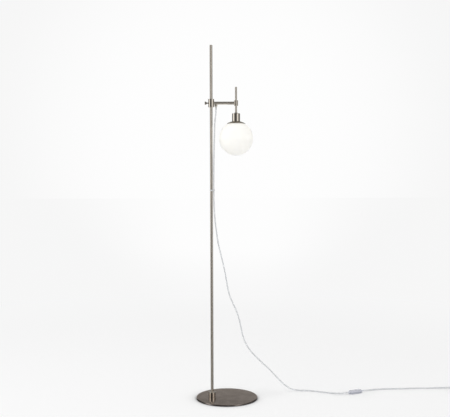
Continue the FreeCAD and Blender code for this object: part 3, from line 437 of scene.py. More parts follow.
# side=0.45 paints shade on the plate's upright edge.
plate_nickel = finish("plate_nickel", paint(209, 198, 191), 0.11, on_plate, 8e-7, 0.05, 0.04,
                      0.05, side=0.45, Metallic=1.0, Specular_Tint=(0.7, 0.68, 0.66, 1))
dish_nickel = finish("dish_nickel", paint(206, 200, 188), 0.22, on_dish, 1e-6, 0.08, 0.05,
                     edge=BRIGHT, Metallic=1.0)
zinc = finish("zinc", paint(190, 194, 196), 0.32, round_z, 3e-6, 0.2, 0.15, 0.2, Metallic=1.0)
brass = finish("brass", paint(214, 188, 122), 0.26, round_z, 3e-6, 0.2, 0.1, 0.1, Metallic=1.0)
pin_nickel = finish("pin_nickel", paint(205, 202, 196), 0.22, across, 2e-6, 0.12, 0.1,
                    edge=BRIGHT, Metallic=1.0)

# %% [markdown]
# ## Glass and plastic
#
# This opal glass is white all through and etched matt outside: light goes in, scatters and comes
# out softly, so it gets some subsurface, a dull skin with slight waves from blowing, and a very
# faint painted glow, a little emission of its own that brightens the ball. The switch, the clip
# and the cord are clear plastic. The cord shows its two twisted cores through the sheath, so its
# pattern follows the curve's own UV map.

# %% Glass and plastic finishes
waves = ("belt_grain", {"Stretch": (1, 1, 0.6), "Fineness": 38.0})
pebbles = ("belt_grain", {"Stretch": (1, 1, 1), "Fineness": 1600.0})
# The emission is a painted glow: the glass itself gives off a little light.
opal = finish("opal", paint(250, 248, 242), 0.42, waves, 3e-5, 0.0, 0.06,
              Subsurface_Weight=0.2, Subsurface_Radius=(0.02, 0.019, 0.017),
              Subsurface_Scale=0.3, Specular_IOR_Level=0.35,
              Emission_Color=(1, 0.975, 0.92, 1), Emission_Strength=0.02)
frosted = finish("frosted", paint(244, 240, 230), 0.45, pebbles, 4e-6, 0.1, 0.1)
rubber = finish("rubber", paint(52, 51, 50), 0.72, pebbles, 6e-5, 0.5, 0.15, 0.3)
nylon = finish("nylon", paint(232, 229, 220), 0.42, pebbles, 1e-5, 0.15, 0.1, 0.1)
black = finish("black", paint(36, 36, 37), 0.34, pebbles, 1e-5, 0.3, 0.15, 0.2)
brown = finish("brown", paint(112, 66, 38), 0.38, pebbles, 1e-5, 0.2, 0.1)
blue = finish("blue", paint(52, 92, 158), 0.38, pebbles, 1e-5, 0.2, 0.1)
clear = finish("clear", paint(226, 227, 228), 0.16, pebbles, 4e-6, 0.1, 0.08, 0.1,
               IOR=1.49, Coat_Weight=0.4, Transmission_Weight=0.35)
gloss = {"IOR": 1.52, "Coat_Weight": 0.5, "Coat_Roughness": 0.12}
casing = finish("casing", paint(196, 197, 206), 0.20, pebbles, 6e-6, 0.12, 0.10, 0.15, **gloss)
# A darker copy of the casing: painted shade for the lower shell and the seam.
casing_shaded = finish("casing_shaded", paint(168, 170, 180), 0.22, pebbles, 6e-6, 0.12, 0.10, 0.15,
                    **gloss)
rocker_grey = finish("rocker_grey", paint(214, 216, 224), 0.24, pebbles, 6e-6, 0.12, 0.10, 0.15,
                     IOR=1.52, Coat_Weight=0.4, Coat_Roughness=0.15)

by_slot = {
    "pole_nickel": tube_nickel, "turned_nickel": turned_nickel, "plate_nickel": plate_nickel,
    "dish_nickel": dish_nickel, "zinc_steel": zinc, "black_rubber": rubber, "nylon": nylon,
    "clear_plastic": clear, "switch_plastic": casing, "black_plastic": black,
    "contact_brass": brass, "opal_glass": opal, "bulb_glass": frosted, "live_core": brown,
    "neutral_core": blue, "clear_cord": clear,
}

wiring, given, result = shader_group(
    "twisted_cores", [("Twists", "NodeSocketFloat", 20.0)], ["Core", "Other"])
unrolled = wiring.add("ShaderNodeTexCoord").outputs["UV"]
parts = wiring.add("ShaderNodeSeparateXYZ", {0: unrolled})
run = wiring.calc("MULTIPLY", parts.outputs[0], given.outputs["Twists"])
phase = wiring.calc("MULTIPLY", wiring.calc("ADD", run, parts.outputs[1]), 2 * pi)
wave = wiring.calc("SINE", phase)
wiring.join(wiring.span(wiring.calc("ABSOLUTE", wave), 0.05, 0.65), result.inputs["Core"])
wiring.join(wiring.span(wave, -0.2, 0.2), result.inputs["Other"])


TWIST_LENGTH = 0.032


def sheath(name, long):
    """Clear sheath over two twisted cores."""
    material = finish(name, paint(206, 206, 205), 0.2, IOR=1.52, Coat_Weight=0.6,
                      Coat_Roughness=0.08)
    wiring = Wiring(material.node_tree)
    shader = next(n for n in wiring.tree.nodes if n.type == "BSDF_PRINCIPLED")
    cores = wiring.group("twisted_cores", {"Twists": round(long / TWIST_LENGTH)})
    pair = wiring.blended(cores.outputs["Other"], paint(214, 216, 218), paint(206, 208, 210))
    tone = wiring.blended(cores.outputs["Core"], paint(196, 199, 203), pair)
    wiring.join(tone, shader.inputs["Base Color"])
    bump = wiring.add("ShaderNodeBump", {
        "Strength": 1.0, "Distance": 6e-5, "Height": cores.outputs["Core"]})
    wiring.join(bump.outputs[0], shader.inputs["Normal"])
    return material


for cord, long in ((swing, swing_long), (slide, slide_long), (drop, 1.26), (lead, 1.36)):
    cord.data.materials.clear()
    cord.data.materials.append(sheath(cord.name + "_sheath", long))
print("materials:", len(bpy.data.materials))

# %% [markdown]
# ## Turned pieces
#
# Most of this lamp comes off a lathe. A piece is an outline of (radius, height) corners that is
# swept round an axis. A real corner is never quite sharp, so each one gets a small rounding, with
# a line kept close on both sides: it holds the smooth shading in the rounding and keeps the long
# faces flat. That little bright line along each edge is most of what makes metal look real.


# %% Lathe
def softened(corners, steps=4):
    """Round each (radius, height, rounding) corner of a closed outline."""
    points = []
    for i, (x, y, bend) in enumerate(corners):
        here = Vector((x, y))
        before = Vector(corners[i - 1][:2]) - here
        after = Vector(corners[(i + 1) % len(corners)][:2]) - here
        if bend <= 0:
            points.append(here)
            continue
        half = before.angle(after) / 2
        reach = min(bend / tan(half), before.length * 0.4, after.length * 0.4)
        before.normalize()
        after.normalize()
        first, last = here + before * reach, here + after * reach
        points.append(here + before * reach * 1.2)
        for step in range(steps + 1):
            t = step / steps
            points.append(first * (1 - t) ** 2 + here * (2 * t * (1 - t)) + last * t * t)
        points.append(here + after * reach * 1.2)
    return points


AXES = {
    "Z": Matrix.Identity(4),
    "X": Matrix.Rotation(pi / 2, 4, "Y"),
    "-X": Matrix.Rotation(-pi / 2, 4, "Y"),
}


def new_object(name, mesh):
    piece = bpy.data.objects.new(name, mesh)
    scene.collection.objects.link(piece)
    return piece


def closed(mesh):
    """Merge doubled points and turn every face outwards."""
    work = bmesh.new()
    work.from_mesh(mesh)
    bmesh.ops.remove_doubles(work, verts=work.verts, dist=1e-7)
    bmesh.ops.recalc_face_normals(work, faces=work.faces)
    work.to_mesh(mesh)
    work.free()
    return mesh


def lathe(name, corners, at=(0, 0, 0), axis="Z", around=96, arc=(0, 360)):
    """A turned piece; corners and at are in millimetres, and arc is in degrees."""
    line = softened(corners)
    whole = arc[1] - arc[0] >= 360
    spokes = around if whole else around + 1
    angles = [radians(arc[0] + (arc[1] - arc[0]) * k / around) for k in range(spokes)]
    points = [(p.x * cos(a), p.x * sin(a), p.y) for p in line for a in angles]
    faces = []
    for i in range(len(line)):
        low, high = i * spokes, (i + 1) % len(line) * spokes
        if line[i].x < 1e-6 and line[(i + 1) % len(line)].x < 1e-6:
            continue
        for k in range(around):
            n = (k + 1) % spokes
            faces.append((low + k, low + n, high + n, high + k))
    if not whole:
        ends = range(0, len(line) * spokes, spokes)
        faces += [tuple(ends), tuple(i + spokes - 1 for i in reversed(ends))]
    mesh = bpy.data.meshes.new(name)
    mesh.from_pydata(points, [], faces)
    mesh.transform(Matrix.Translation(Vector(at) * MM) @ AXES[axis] @ Matrix.Scale(MM, 4))
    closed(mesh).shade_smooth()
    return new_object(name, mesh)


def dressed(piece, material):
    if not piece.data.materials:
        piece.data.materials.append(None)
    for i in range(len(piece.data.materials)):
        piece.data.materials[i] = material


def fitted(piece, body, slot, *nodes, look=None):
    """Give a piece its body, its slot's finish or its own look, and the solids it stands for."""
    dressed(piece, look or by_slot[slot])
    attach(piece, body)
    if nodes:
        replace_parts(piece, *nodes)
    return piece


POLE_X, ROD_X, ARM_Z = -63, 42, 1256
ON_POLE, ON_ROD, AT_CLAMP = (POLE_X, 0, 0), (ROD_X, 0, 0), (POLE_X, 0, ARM_Z)


def shift(x, y, z):
    """A move by this many millimetres."""
    return Matrix.Translation(Vector((x, y, z)) * MM)


def rod_outline(radius, low, high, soft=0.35):
    return [(0, low, 0), (radius, low, soft), (radius, high, soft), (0, high, 0)]


def ring_outline(outer, inner, low, high, soft=0.35):
    return [(inner, low, soft), (outer, low, soft), (outer, high, soft), (inner, high, soft)]


# %% [markdown]
# ## Plate, collar and pole
#
# The plate is a 5 mm disc on a thin rubber pad. From below one sees the head of the screw that
# holds the pole, so its hole is cut with a boolean. The pole is two tubes: the hairline where
# they meet, half way up, comes from their small chamfers.


# %% Cutting helper
def settled(piece):
    """The piece's mesh, with its modifiers worked in."""
    bpy.context.view_layer.update()
    return bpy.data.meshes.new_from_object(
        piece.evaluated_get(bpy.context.evaluated_depsgraph_get()))


def cut_out(piece, *tools):
    """Take the tools away from the piece, and leave it as a plain mesh."""
    for tool in tools:
        cut = piece.modifiers.new("cut", "BOOLEAN")
        cut.operation = "DIFFERENCE"
        cut.solver = "EXACT"
        cut.object = tool
    done = settled(piece)
    piece.modifiers.clear()
    piece.data = done
    for tool in tools:
        bpy.data.objects.remove(tool)
    done.set_sharp_from_angle(angle=radians(30))
    return piece


# %% Plate, collar and pole
plate = lathe("plate", [
    (0, 1.5, 0), (130, 1.5, 0.8), (130, 6.5, 2.4), (0, 6.5, 0),
], around=256)
sink = lathe("sink", [(0, 1, 0), (8.2, 1, 0), (4.2, 5, 0), (4.2, 8, 0), (0, 8, 0)],
             ON_POLE, around=64)
fitted(cut_out(plate, sink), "stand", "plate_nickel", "base_plate")

collar = lathe("collar", ring_outline(15, 6.05, 6.5, 26.5, 0.8), ON_POLE, around=128)
fitted(collar, "stand", "turned_nickel", "foot_collar")

lower = lathe("lower_tube", ring_outline(6, 5, 6.5, 758.5, 0.35), ON_POLE)
upper = lathe("upper_tube", ring_outline(6, 5, 758.5, 1498, 0.35), ON_POLE)
top = lathe("tube_top", [
    (0, 1488, 0), (4.9, 1488, 0.3), (4.9, 1498, 0), (6, 1498, 0), (6, 1500, 0.9), (0, 1500, 0),
], ON_POLE)
fitted(lower, "stand", "pole_nickel", "pole_lower")
fitted(upper, "stand", "pole_nickel", "pole_upper")
fitted(top, "stand", "pole_nickel", "pole_cap")
print("plate, collar and pole made")

# %% [markdown]
# ## Clamp, arm and rod
#
# The sleeve slides on a nylon liner. A tube runs from it to a smaller sleeve that holds the
# hanging rod, and a small set screw locks the rod there.

# %% Clamp, arm and rod
sleeve = lathe("sleeve", [
    (7.55, 1239.7, 0.2), (6.2, 1239.7, 0.2), (6.2, 1238.5, 0.2), (12.5, 1238.5, 0.9),
    (12.5, 1273.5, 0.9), (7.55, 1273.5, 0.3),
], ON_POLE, around=128)
fitted(sleeve, "arm", "turned_nickel", "clamp_sleeve")
liner = lathe("liner", ring_outline(7.5, 6.05, 1239.7, 1272.3, 0.25), ON_POLE, arc=(96, 444))
fitted(liner, "carriage", "nylon", "sleeve_liner")

arm = lathe("arm", ring_outline(6.5, 5.5, 11, 98, 0.2), AT_CLAMP, "X")
fitted(arm, "arm", "pole_nickel", "arm_tube", look=arm_nickel)
for name, at, size in (("sleeve_weld", 12.1, 7.1), ("end_weld", 96.3, 6.9)):
    weld = lathe(name, [(6.4, at - 0.8, 0), (size, at - 0.8, 0.4), (size, at + 0.6, 0.5),
                        (6.4, at + 1.0, 0)], AT_CLAMP, "X")
    fitted(weld, "arm", "turned_nickel", look=arm_nickel)

end = lathe("end_sleeve", ring_outline(8.5, 4.3, 1244.5, 1267.5, 0.9), ON_ROD, around=96)
grub_hole = lathe("grub_hole", rod_outline(2.05, 3, 12, 0), (ROD_X, 0, ARM_Z), "X", around=32)
fitted(cut_out(end, grub_hole), "arm", "turned_nickel", "arm_end_sleeve")
grub = lathe("grub_screw", rod_outline(1.95, 4.3, 8.3, 0.25), (ROD_X, 0, ARM_Z), "X", around=48)
socket = lathe("socket", rod_outline(1.0, 6.5, 9, 0), (ROD_X, 0, ARM_Z), "X", around=6)
fitted(cut_out(grub, socket), "arm", "zinc_steel", "rod_grub_screw")

rod = lathe("rod", ring_outline(4.25, 3, 1203.3, 1322.5, 0.25), ON_ROD, around=64)
rod_top = lathe("rod_top", rod_outline(4.25, 1322.5, 1324, 0.7), ON_ROD, around=64)
fitted(rod, "arm", "pole_nickel", "hanger_rod")
fitted(rod_top, "arm", "pole_nickel", "rod_cap")


# %% [markdown]
# ## Thumb screw
#
# The knob is turned first, and then knurled. The knurl repeats, so Geometry Nodes make it: a
# circle of points, one short bar on each, all turned to face outwards.


# %% Geometry Nodes helpers
def node_tree(name, inputs):
    """A geometry tree with named inputs; returns its wiring and its input node."""
    tree = bpy.data.node_groups.new(name, "GeometryNodeTree")
    tree.interface.new_socket("Geometry", in_out="OUTPUT", socket_type="NodeSocketGeometry")
    for label, kind in inputs:
        tree.interface.new_socket(label, in_out="INPUT", socket_type=kind)
    wiring = Wiring(tree)
    return wiring, wiring.add("NodeGroupInput").outputs


def closing(wiring, geometry, material):
    """Realize the copies, paint them and hand them out."""
    real = wiring.add("GeometryNodeRealizeInstances", {0: geometry}).outputs[0]
    painted = wiring.add("GeometryNodeSetMaterial", {"Geometry": real, "Material": material})
    wiring.add("NodeGroupOutput", {0: painted.outputs[0]})
    return wiring.tree


def grown(name, tree, values, move=None):
    """Run a tree with these sizes and keep the result as a plain mesh, moved into place."""
    holder = new_object(name + "_holder", bpy.data.meshes.new(name + "_holder"))
    nodes = holder.modifiers.new("nodes", "NODES")
    nodes.node_group = tree
    for item in tree.interface.items_tree:
        if item.in_out == "INPUT":
            nodes[item.identifier] = values[item.name]
    mesh = settled(holder)
    bpy.data.objects.remove(holder)
    mesh.transform((move or Matrix.Identity(4)) @ Matrix.Scale(MM, 4))
    closed(mesh).shade_smooth()
    mesh.set_sharp_from_angle(angle=radians(35))
    print(name, "has", len(mesh.polygons), "faces")
    return new_object(name, mesh)


FLOAT, COUNT, MATERIAL = "NodeSocketFloat", "NodeSocketInt", "NodeSocketMaterial"

# %% Ridges round an axis
wiring, sizes = node_tree("ridges_round", [
    ("Count", COUNT), ("Radius", FLOAT), ("Bar radius", FLOAT), ("Bar length", FLOAT),
    ("Material", MATERIAL)])
circle = wiring.add("GeometryNodeMeshCircle", {
    "Vertices": sizes["Count"], "Radius": sizes["Radius"]})
bar = wiring.add("GeometryNodeMeshCylinder", {
    "Vertices": 8, "Radius": sizes["Bar radius"], "Depth": sizes["Bar length"]})
copies = wiring.add("GeometryNodeInstanceOnPoints", {
    "Points": circle.outputs[0], "Instance": bar.outputs[0]})
ridges_round = closing(wiring, copies.outputs[0], sizes["Material"])

# %% Thumb screw
KNOB_X = -82.3
screw = lathe("screw_knob", [
    (0, 10.2, 0), (2.6, 10.2, 0.2), (3, 10.6, 0.1), (3, 19.3, 0.2), (4.2, 19.3, 0.3),
    (6.6, 22.0, 0.8), (6.6, 26.4, 0.8), (5.6, 27.3, 0.4), (0, 27.3, 0),
], AT_CLAMP, "-X", around=96)
fitted(screw, "screw", "turned_nickel", "thumb_screw", look=screw_nickel)
knurl = grown("knurl", ridges_round, {
    "Count": 32, "Radius": 6.55, "Bar radius": 0.42, "Bar length": 3.6,
    "Material": screw_nickel}, shift(KNOB_X - 5.0, 0, ARM_Z) @ AXES["-X"])
fitted(knurl, "screw", "turned_nickel", look=screw_nickel)
tip = lathe("clamp_tip", rod_outline(2.95, 7.65, 10.17, 0.3), AT_CLAMP, "-X", around=48)
fitted(tip, "pad", "nylon", "clamp_pad")

# %% [markdown]
# ## Gland and strain relief
#
# The cord leaves the arm through a nut and a soft tapered sleeve. The sleeve has rings that get
# smaller towards its end, so that it bends a little at a time. They repeat, so nodes make them.

# %% Rings on a taper
wiring, sizes = node_tree("relief_rings", [
    ("Count", COUNT), ("Pitch", FLOAT), ("First radius", FLOAT), ("Last radius", FLOAT),
    ("Thickness", FLOAT), ("Material", MATERIAL)])
step = wiring.add("ShaderNodeCombineXYZ", {2: sizes["Pitch"]})
line = wiring.add("GeometryNodeMeshLine", {"Count": sizes["Count"], "Offset": step.outputs[0]})
hoop = wiring.add("GeometryNodeCurvePrimitiveCircle", {"Resolution": 40, "Radius": 1.0})
wire = wiring.add("GeometryNodeCurvePrimitiveCircle", {
    "Resolution": 8, "Radius": wiring.calc("DIVIDE", sizes["Thickness"], sizes["First radius"])})
torus = wiring.add("GeometryNodeCurveToMesh", {0: hoop.outputs[0], 1: wire.outputs[0]})
order = wiring.add("GeometryNodeInputIndex").outputs[0]
share = wiring.calc("DIVIDE", order, wiring.calc("SUBTRACT", sizes["Count"], 1.0))
gain = wiring.calc("SUBTRACT", sizes["Last radius"], sizes["First radius"])
wide = wiring.calc("MULTIPLY_ADD", share, gain, sizes["First radius"])
scale = wiring.add("ShaderNodeCombineXYZ", {0: wide, 1: wide, 2: sizes["First radius"]})
copies = wiring.add("GeometryNodeInstanceOnPoints", {
    "Points": line.outputs[0], "Instance": torus.outputs[0], "Scale": scale.outputs[0]})
relief_rings = closing(wiring, copies.outputs[0], sizes["Material"])

# %% Gland and strain relief
GLAND_X = POLE_X + 20
gland = lathe("gland", [
    (4.05, 1240.5, 0.2), (4.3, 1240.5, 0.2), (6, 1242.3, 0.3), (6, 1253, 0), (4.05, 1253, 0),
], (GLAND_X, 0, 0), around=6 * 12)
fitted(gland, "arm", "turned_nickel", "gland_nut")
relief = lathe("relief", [
    (0, 1228.5, 0), (3.0, 1228.5, 0.2), (3.6, 1240.5, 0), (3.95, 1250.4, 0), (0, 1250.4, 0),
], (GLAND_X, 0, 0), around=48)
fitted(relief, "arm", "clear_plastic", "strain_relief")
rings = grown("relief_ring_set", relief_rings, {
    "Count": 6, "Pitch": -1.9, "First radius": 3.45, "Last radius": 3.05, "Thickness": 0.42,
    "Material": clear}, shift(GLAND_X, 0, 1239.2))
fitted(rings, "arm", "clear_plastic")

# %% [markdown]
# ## Cup and lampholder
#
# The cup hides the lampholder. A thin nut on the rod holds it up, and its lower rim rests on the
# dish over the globe.

# %% Cup and nut
cup = lathe("cup", [
    (4.3, 1211.3, 0.1), (15.8, 1211.3, 0.6), (15.8, 1179.5, 0.3), (17, 1179.5, 0.35),
    (17, 1212.5, 1.6), (4.3, 1212.5, 0.2),
], ON_ROD, around=128)
fitted(cup, "arm", "turned_nickel", "cup_cover")
nut = lathe("cup_nut_hex", ring_outline(6.9, 4.3, 1212.5, 1216, 0.5), ON_ROD, around=6)
nut.data.shade_flat()
fitted(nut, "arm", "turned_nickel", "cup_nut")

# %% [markdown]
# ## Globe and dish
#
# Both follow one rule: a round shell between two angles from the top. One Geometry Nodes tree
# makes them. It takes a flat grid and wraps it: one direction goes round the axis, and the other
# runs down the outer skin, turns the corner and comes back up the inner one.

# %% Round shell
wiring, sizes = node_tree("round_shell", [
    ("Outer radius", FLOAT), ("Inner radius", FLOAT), ("Open angle", FLOAT),
    ("End angle", FLOAT), ("Rings", COUNT), ("Around", COUNT), ("Material", MATERIAL)])
rows = wiring.calc("MULTIPLY_ADD", sizes["Rings"], 2.0, 1.0)
grid = wiring.add("GeometryNodeMeshGrid", {
    "Size X": 1.0, "Size Y": 1.0, "Vertices Y": rows,
    "Vertices X": wiring.calc("ADD", sizes["Around"], 1.0)})
spot = wiring.add("ShaderNodeSeparateXYZ", {0: wiring.add("GeometryNodeInputPosition").outputs[0]})
turn = wiring.calc("MULTIPLY", wiring.calc("ADD", spot.outputs[0], 0.5), 2 * pi)
twice = wiring.calc("MULTIPLY", sizes["Rings"], 2.0)
row = wiring.calc("ROUND", wiring.calc(
    "MULTIPLY", wiring.calc("ADD", spot.outputs[1], 0.5), twice))
last = wiring.calc("SUBTRACT", sizes["Rings"], 1.0)
inside = wiring.calc("MULTIPLY", wiring.calc("GREATER_THAN", row, wiring.calc("ADD", last, 0.5)),
                     wiring.calc("LESS_THAN", row, wiring.calc("SUBTRACT", twice, 0.5)))
home = wiring.calc("GREATER_THAN", row, wiring.calc("SUBTRACT", twice, 0.5))
down = wiring.calc("DIVIDE", row, last)
back = wiring.calc("SUBTRACT", 1.0, wiring.calc(
    "DIVIDE", wiring.calc("SUBTRACT", row, sizes["Rings"]), last))
share = wiring.calc("MULTIPLY_ADD", inside, wiring.calc("SUBTRACT", back, down), down)
share = wiring.calc("MULTIPLY", share, wiring.calc("SUBTRACT", 1.0, home))
sweep = wiring.calc("SUBTRACT", sizes["End angle"], sizes["Open angle"])
polar = wiring.calc("MULTIPLY_ADD", share, sweep, sizes["Open angle"])
thin = wiring.calc("SUBTRACT", sizes["Inner radius"], sizes["Outer radius"])
reach = wiring.calc("MULTIPLY_ADD", inside, thin, sizes["Outer radius"])
flat = wiring.calc("MULTIPLY", reach, wiring.calc("SINE", polar))
spot = wiring.add("ShaderNodeCombineXYZ", {
    0: wiring.calc("MULTIPLY", flat, wiring.calc("COSINE", turn)),
    1: wiring.calc("MULTIPLY", flat, wiring.calc("SINE", turn)),
    2: wiring.calc("MULTIPLY", reach, wiring.calc("COSINE", polar))})
wrapped = wiring.add("GeometryNodeSetPosition", {
    "Geometry": grid.outputs["Mesh"], "Position": spot.outputs[0]})
round_shell = closing(wiring, wrapped.outputs[0], sizes["Material"])

# %% Globe and dish
GLOBE_R, DISH_R, DISH_IN, RIM_R = 72.0, 74.0, 72.8, 37.2
CUP_IN, CUP_FOOT = 15.8, ARM_Z - 76.5
GLOBE_Z = CUP_FOOT - sqrt(DISH_R**2 - CUP_IN**2) - 0.05
globe_spot = shift(ROD_X, 0, GLOBE_Z)
globe = grown("globe", round_shell, {
    "Outer radius": GLOBE_R, "Inner radius": GLOBE_R - 3, "Open angle": asin(24 / GLOBE_R),
    "End angle": pi, "Rings": 72, "Around": 144, "Material": opal}, globe_spot)
fitted(globe, "arm", "opal_glass", "glass_globe")
dish = grown("dish", round_shell, {
    "Outer radius": DISH_R, "Inner radius": DISH_IN, "Open angle": asin(13.7 / DISH_R),
    "End angle": asin(RIM_R / DISH_R), "Rings": 14, "Around": 128, "Material": dish_nickel},
    globe_spot)
fitted(dish, "arm", "dish_nickel", "globe_cap")
BEAD_Z = GLOBE_Z + sqrt(((DISH_R + DISH_IN) / 2)**2 - RIM_R**2) - 0.8
bead = lathe("dish_bead", [
    (37.6 + 1.45 * cos(a), 1.45 * sin(a), 0) for a in [2 * pi * k / 16 for k in range(16)]
], (ROD_X, 0, BEAD_Z), around=128)
fitted(bead, "arm", "dish_nickel")

# %% [markdown]
# ## Clip on the pole
#
# A snap ring goes round the pole, and an open eye beside it holds the cord loosely.

# %% Clip
clip_ring = lathe("clip_ring", ring_outline(7.25, 6.05, 885, 891, 0.3), ON_POLE)
fitted(clip_ring, "stand", "clear_plastic", "cord_clip")
clip_eye = lathe("clip_eye", ring_outline(4.3, 3.1, 885, 891, 0.3), (POLE_X + 10, 0, 0),
                 around=48, arc=(24, 336))
fitted(clip_eye, "stand", "clear_plastic")

# %% [markdown]
# ## Switch on the cord
#
# The casing is two shells that meet at the height of the cord. A box model gives their shape, and
# a bevel on every edge gives the moulded look. The rocker sits in a window in the upper shell,
# pressed down at one end.


# %% Prism
def prism(name, corners, low, high, bevel, turn=None):
    """A moulded block: an outline pushed up from low to high, with softened edges."""
    work = bmesh.new()
    base = [work.verts.new((x, y, low)) for x, y in corners]
    lid = [work.verts.new((x, y, high)) for x, y in corners]
    count = len(corners)
    work.faces.new(list(reversed(base)))
    work.faces.new(lid)
    for i in range(count):
        n = (i + 1) % count
        work.faces.new((base[i], base[n], lid[n], lid[i]))
    bmesh.ops.recalc_face_normals(work, faces=work.faces)
    bmesh.ops.bevel(work, geom=work.edges[:], offset=bevel, segments=3, profile=0.5,
                    affect="EDGES", clamp_overlap=True)
    if turn:
        bmesh.ops.transform(work, matrix=turn, verts=work.verts)
    mesh = bpy.data.meshes.new(name)
    work.to_mesh(mesh)
    work.free()
    mesh.shade_smooth()
    mesh.set_sharp_from_angle(angle=radians(28))
    return new_object(name, mesh)


def moved(piece, matrix):
    """Put a piece modelled in millimetres about its own origin into its place."""
    piece.data.transform(matrix @ Matrix.Scale(MM, 4))
    return piece


# %% Ribs in a row
wiring, sizes = node_tree("ribs_in_a_row", [
    ("Count", COUNT), ("Spacing", FLOAT), ("Length", FLOAT), ("Thickness", FLOAT),
    ("Material", MATERIAL)])
step = wiring.add("ShaderNodeCombineXYZ", {0: sizes["Spacing"]})
line = wiring.add("GeometryNodeMeshLine", {"Count": sizes["Count"], "Offset": step.outputs[0]})
bar = wiring.add("GeometryNodeMeshCylinder", {
    "Vertices": 10, "Radius": sizes["Thickness"], "Depth": sizes["Length"]})
copies = wiring.add("GeometryNodeInstanceOnPoints", {
    "Points": line.outputs[0], "Instance": bar.outputs[0], "Rotation": (pi / 2, 0, 0)})
ribs_in_a_row = closing(wiring, copies.outputs[0], sizes["Material"])

# %% Switch
SWITCH_TURN = radians(23.94)
switch_spot = shift(560, 64, 0) @ Matrix.Rotation(SWITCH_TURN, 4, "Z")
lozenge = [(30, -5.5), (30, 5.5), (21.6, 10), (-21.6, 10), (-30, 5.5), (-30, -5.5),
           (-21.6, -10), (21.6, -10)]
inner = [(x * 0.97, y * 0.93) for x, y in lozenge]
under = prism("casing_under", lozenge, 0.1, 7.3, 1.0)
over = prism("casing_over", lozenge, 7.6, 14, 1.4)
seam = prism("casing_seam", inner, 7.0, 8.0, 0.1)
window = prism("window", [(2, -4.8), (22, -4.8), (22, 4.8), (2, 4.8)], 9, 16, 0.4)
cut_out(over, window)
# The lower shell and the seam take the darker copy, painted shade; the upper shell takes the plain
# casing.
for piece, look, nodes in ((under, casing_shaded, ["switch_base"]), (seam, casing_shaded, []),
                           (over, casing, ["switch_cover"])):
    fitted(moved(piece, switch_spot), "stand", "switch_plastic", *nodes, look=look)

PIVOT = Vector((12, 0, 11.3))
ROCKER_REST = radians(-8)
rocker_spot = switch_spot @ Matrix.Translation(PIVOT * MM) @ Matrix.Rotation(ROCKER_REST, 4, "Y")
side_view = [(-9.2, -0.4), (-2, -2.4), (2, -2.4), (9.2, -0.4), (9.2, 4.1), (4.6, 3.28),
             (-4.6, 3.28), (-9.2, 4.1)]
rocker = prism("rocker", side_view, -4.5, 4.5, 0.45, Matrix.Rotation(pi / 2, 4, "X"))
fitted(moved(rocker, rocker_spot), "rocker", "switch_plastic", "switch_rocker", look=rocker_grey)
for name, first in (("ribs_right", 5.4), ("ribs_left", -8.2)):
    ribs = grown(name, ribs_in_a_row, {
        "Count": 3, "Spacing": 1.4, "Length": 7.2, "Thickness": 0.35, "Material": rocker_grey},
        rocker_spot @ shift(first, 0, 3.45))
    fitted(ribs, "rocker", "switch_plastic", look=rocker_grey)

for name, end, way in (("relief_in", -30, -1), ("relief_out", 30, 1)):
    boot = lathe(name, [(2.9, 0, 0.1), (4.6, 0, 0.3), (3.3, 7, 0.3), (2.9, 7, 0.1)], around=48)
    aim = Matrix.Rotation(way * pi / 2, 4, "Y")
    boot.data.transform(switch_spot @ shift(end, 0, 7.5) @ aim)
    fitted(boot, "stand", "switch_plastic")

# %% [markdown]
# ## Tie and plug
#
# A flat band holds the coil. The plug is a moulded body with finger grips and two round pins,
# half covered by insulating sleeves.

# %% Tie
tie_low, tie_high = 1.0, 13.4
tie_in, tie_out = COIL_OUT - COIL_STEP * 1.625 - 3.1, COIL_OUT - COIL_STEP * 0.625 + 3.1


def band(name, width, height, wall, across, corner):
    """A flat strap bent into a rounded rectangle, lying in the XZ plane."""
    outline = []
    for sx, sz, start in ((1, 1, 0), (-1, 1, 90), (-1, -1, 180), (1, -1, 270)):
        for k in range(9):
            angle = radians(start + 90 * k / 8)
            outline.append((sx * (width / 2 - corner), sz * (height / 2 - corner), angle))
    loops = []
    for grow, y in ((0, -across / 2), (wall, -across / 2), (wall, across / 2), (0, across / 2)):
        loops.append([(x + (corner + grow) * cos(a), y, z + (corner + grow) * sin(a))
                      for x, z, a in outline])
    count = len(outline)
    points = [p for loop in loops for p in loop]
    faces = []
    for i in range(4):
        for k in range(count):
            n, j = (k + 1) % count, (i + 1) % 4
            faces.append((i * count + k, i * count + n, j * count + n, j * count + k))
    mesh = bpy.data.meshes.new(name)
    mesh.from_pydata(points, [], faces)
    closed(mesh).shade_smooth()
    mesh.set_sharp_from_angle(angle=radians(30))
    return new_object(name, mesh)


tie = band("coil_band", tie_out - tie_in, tie_high - tie_low, 0.8, 6, 2.9)
middle = Vector(((tie_in + tie_out) / 2, 0, (tie_low + tie_high) / 2))
moved(tie, Matrix.Translation(COIL_CENTRE * MM) @ Matrix.Rotation(radians(225), 4, "Z")
      @ Matrix.Translation(middle * MM))
fitted(tie, "stand", "clear_plastic", "coil_tie")

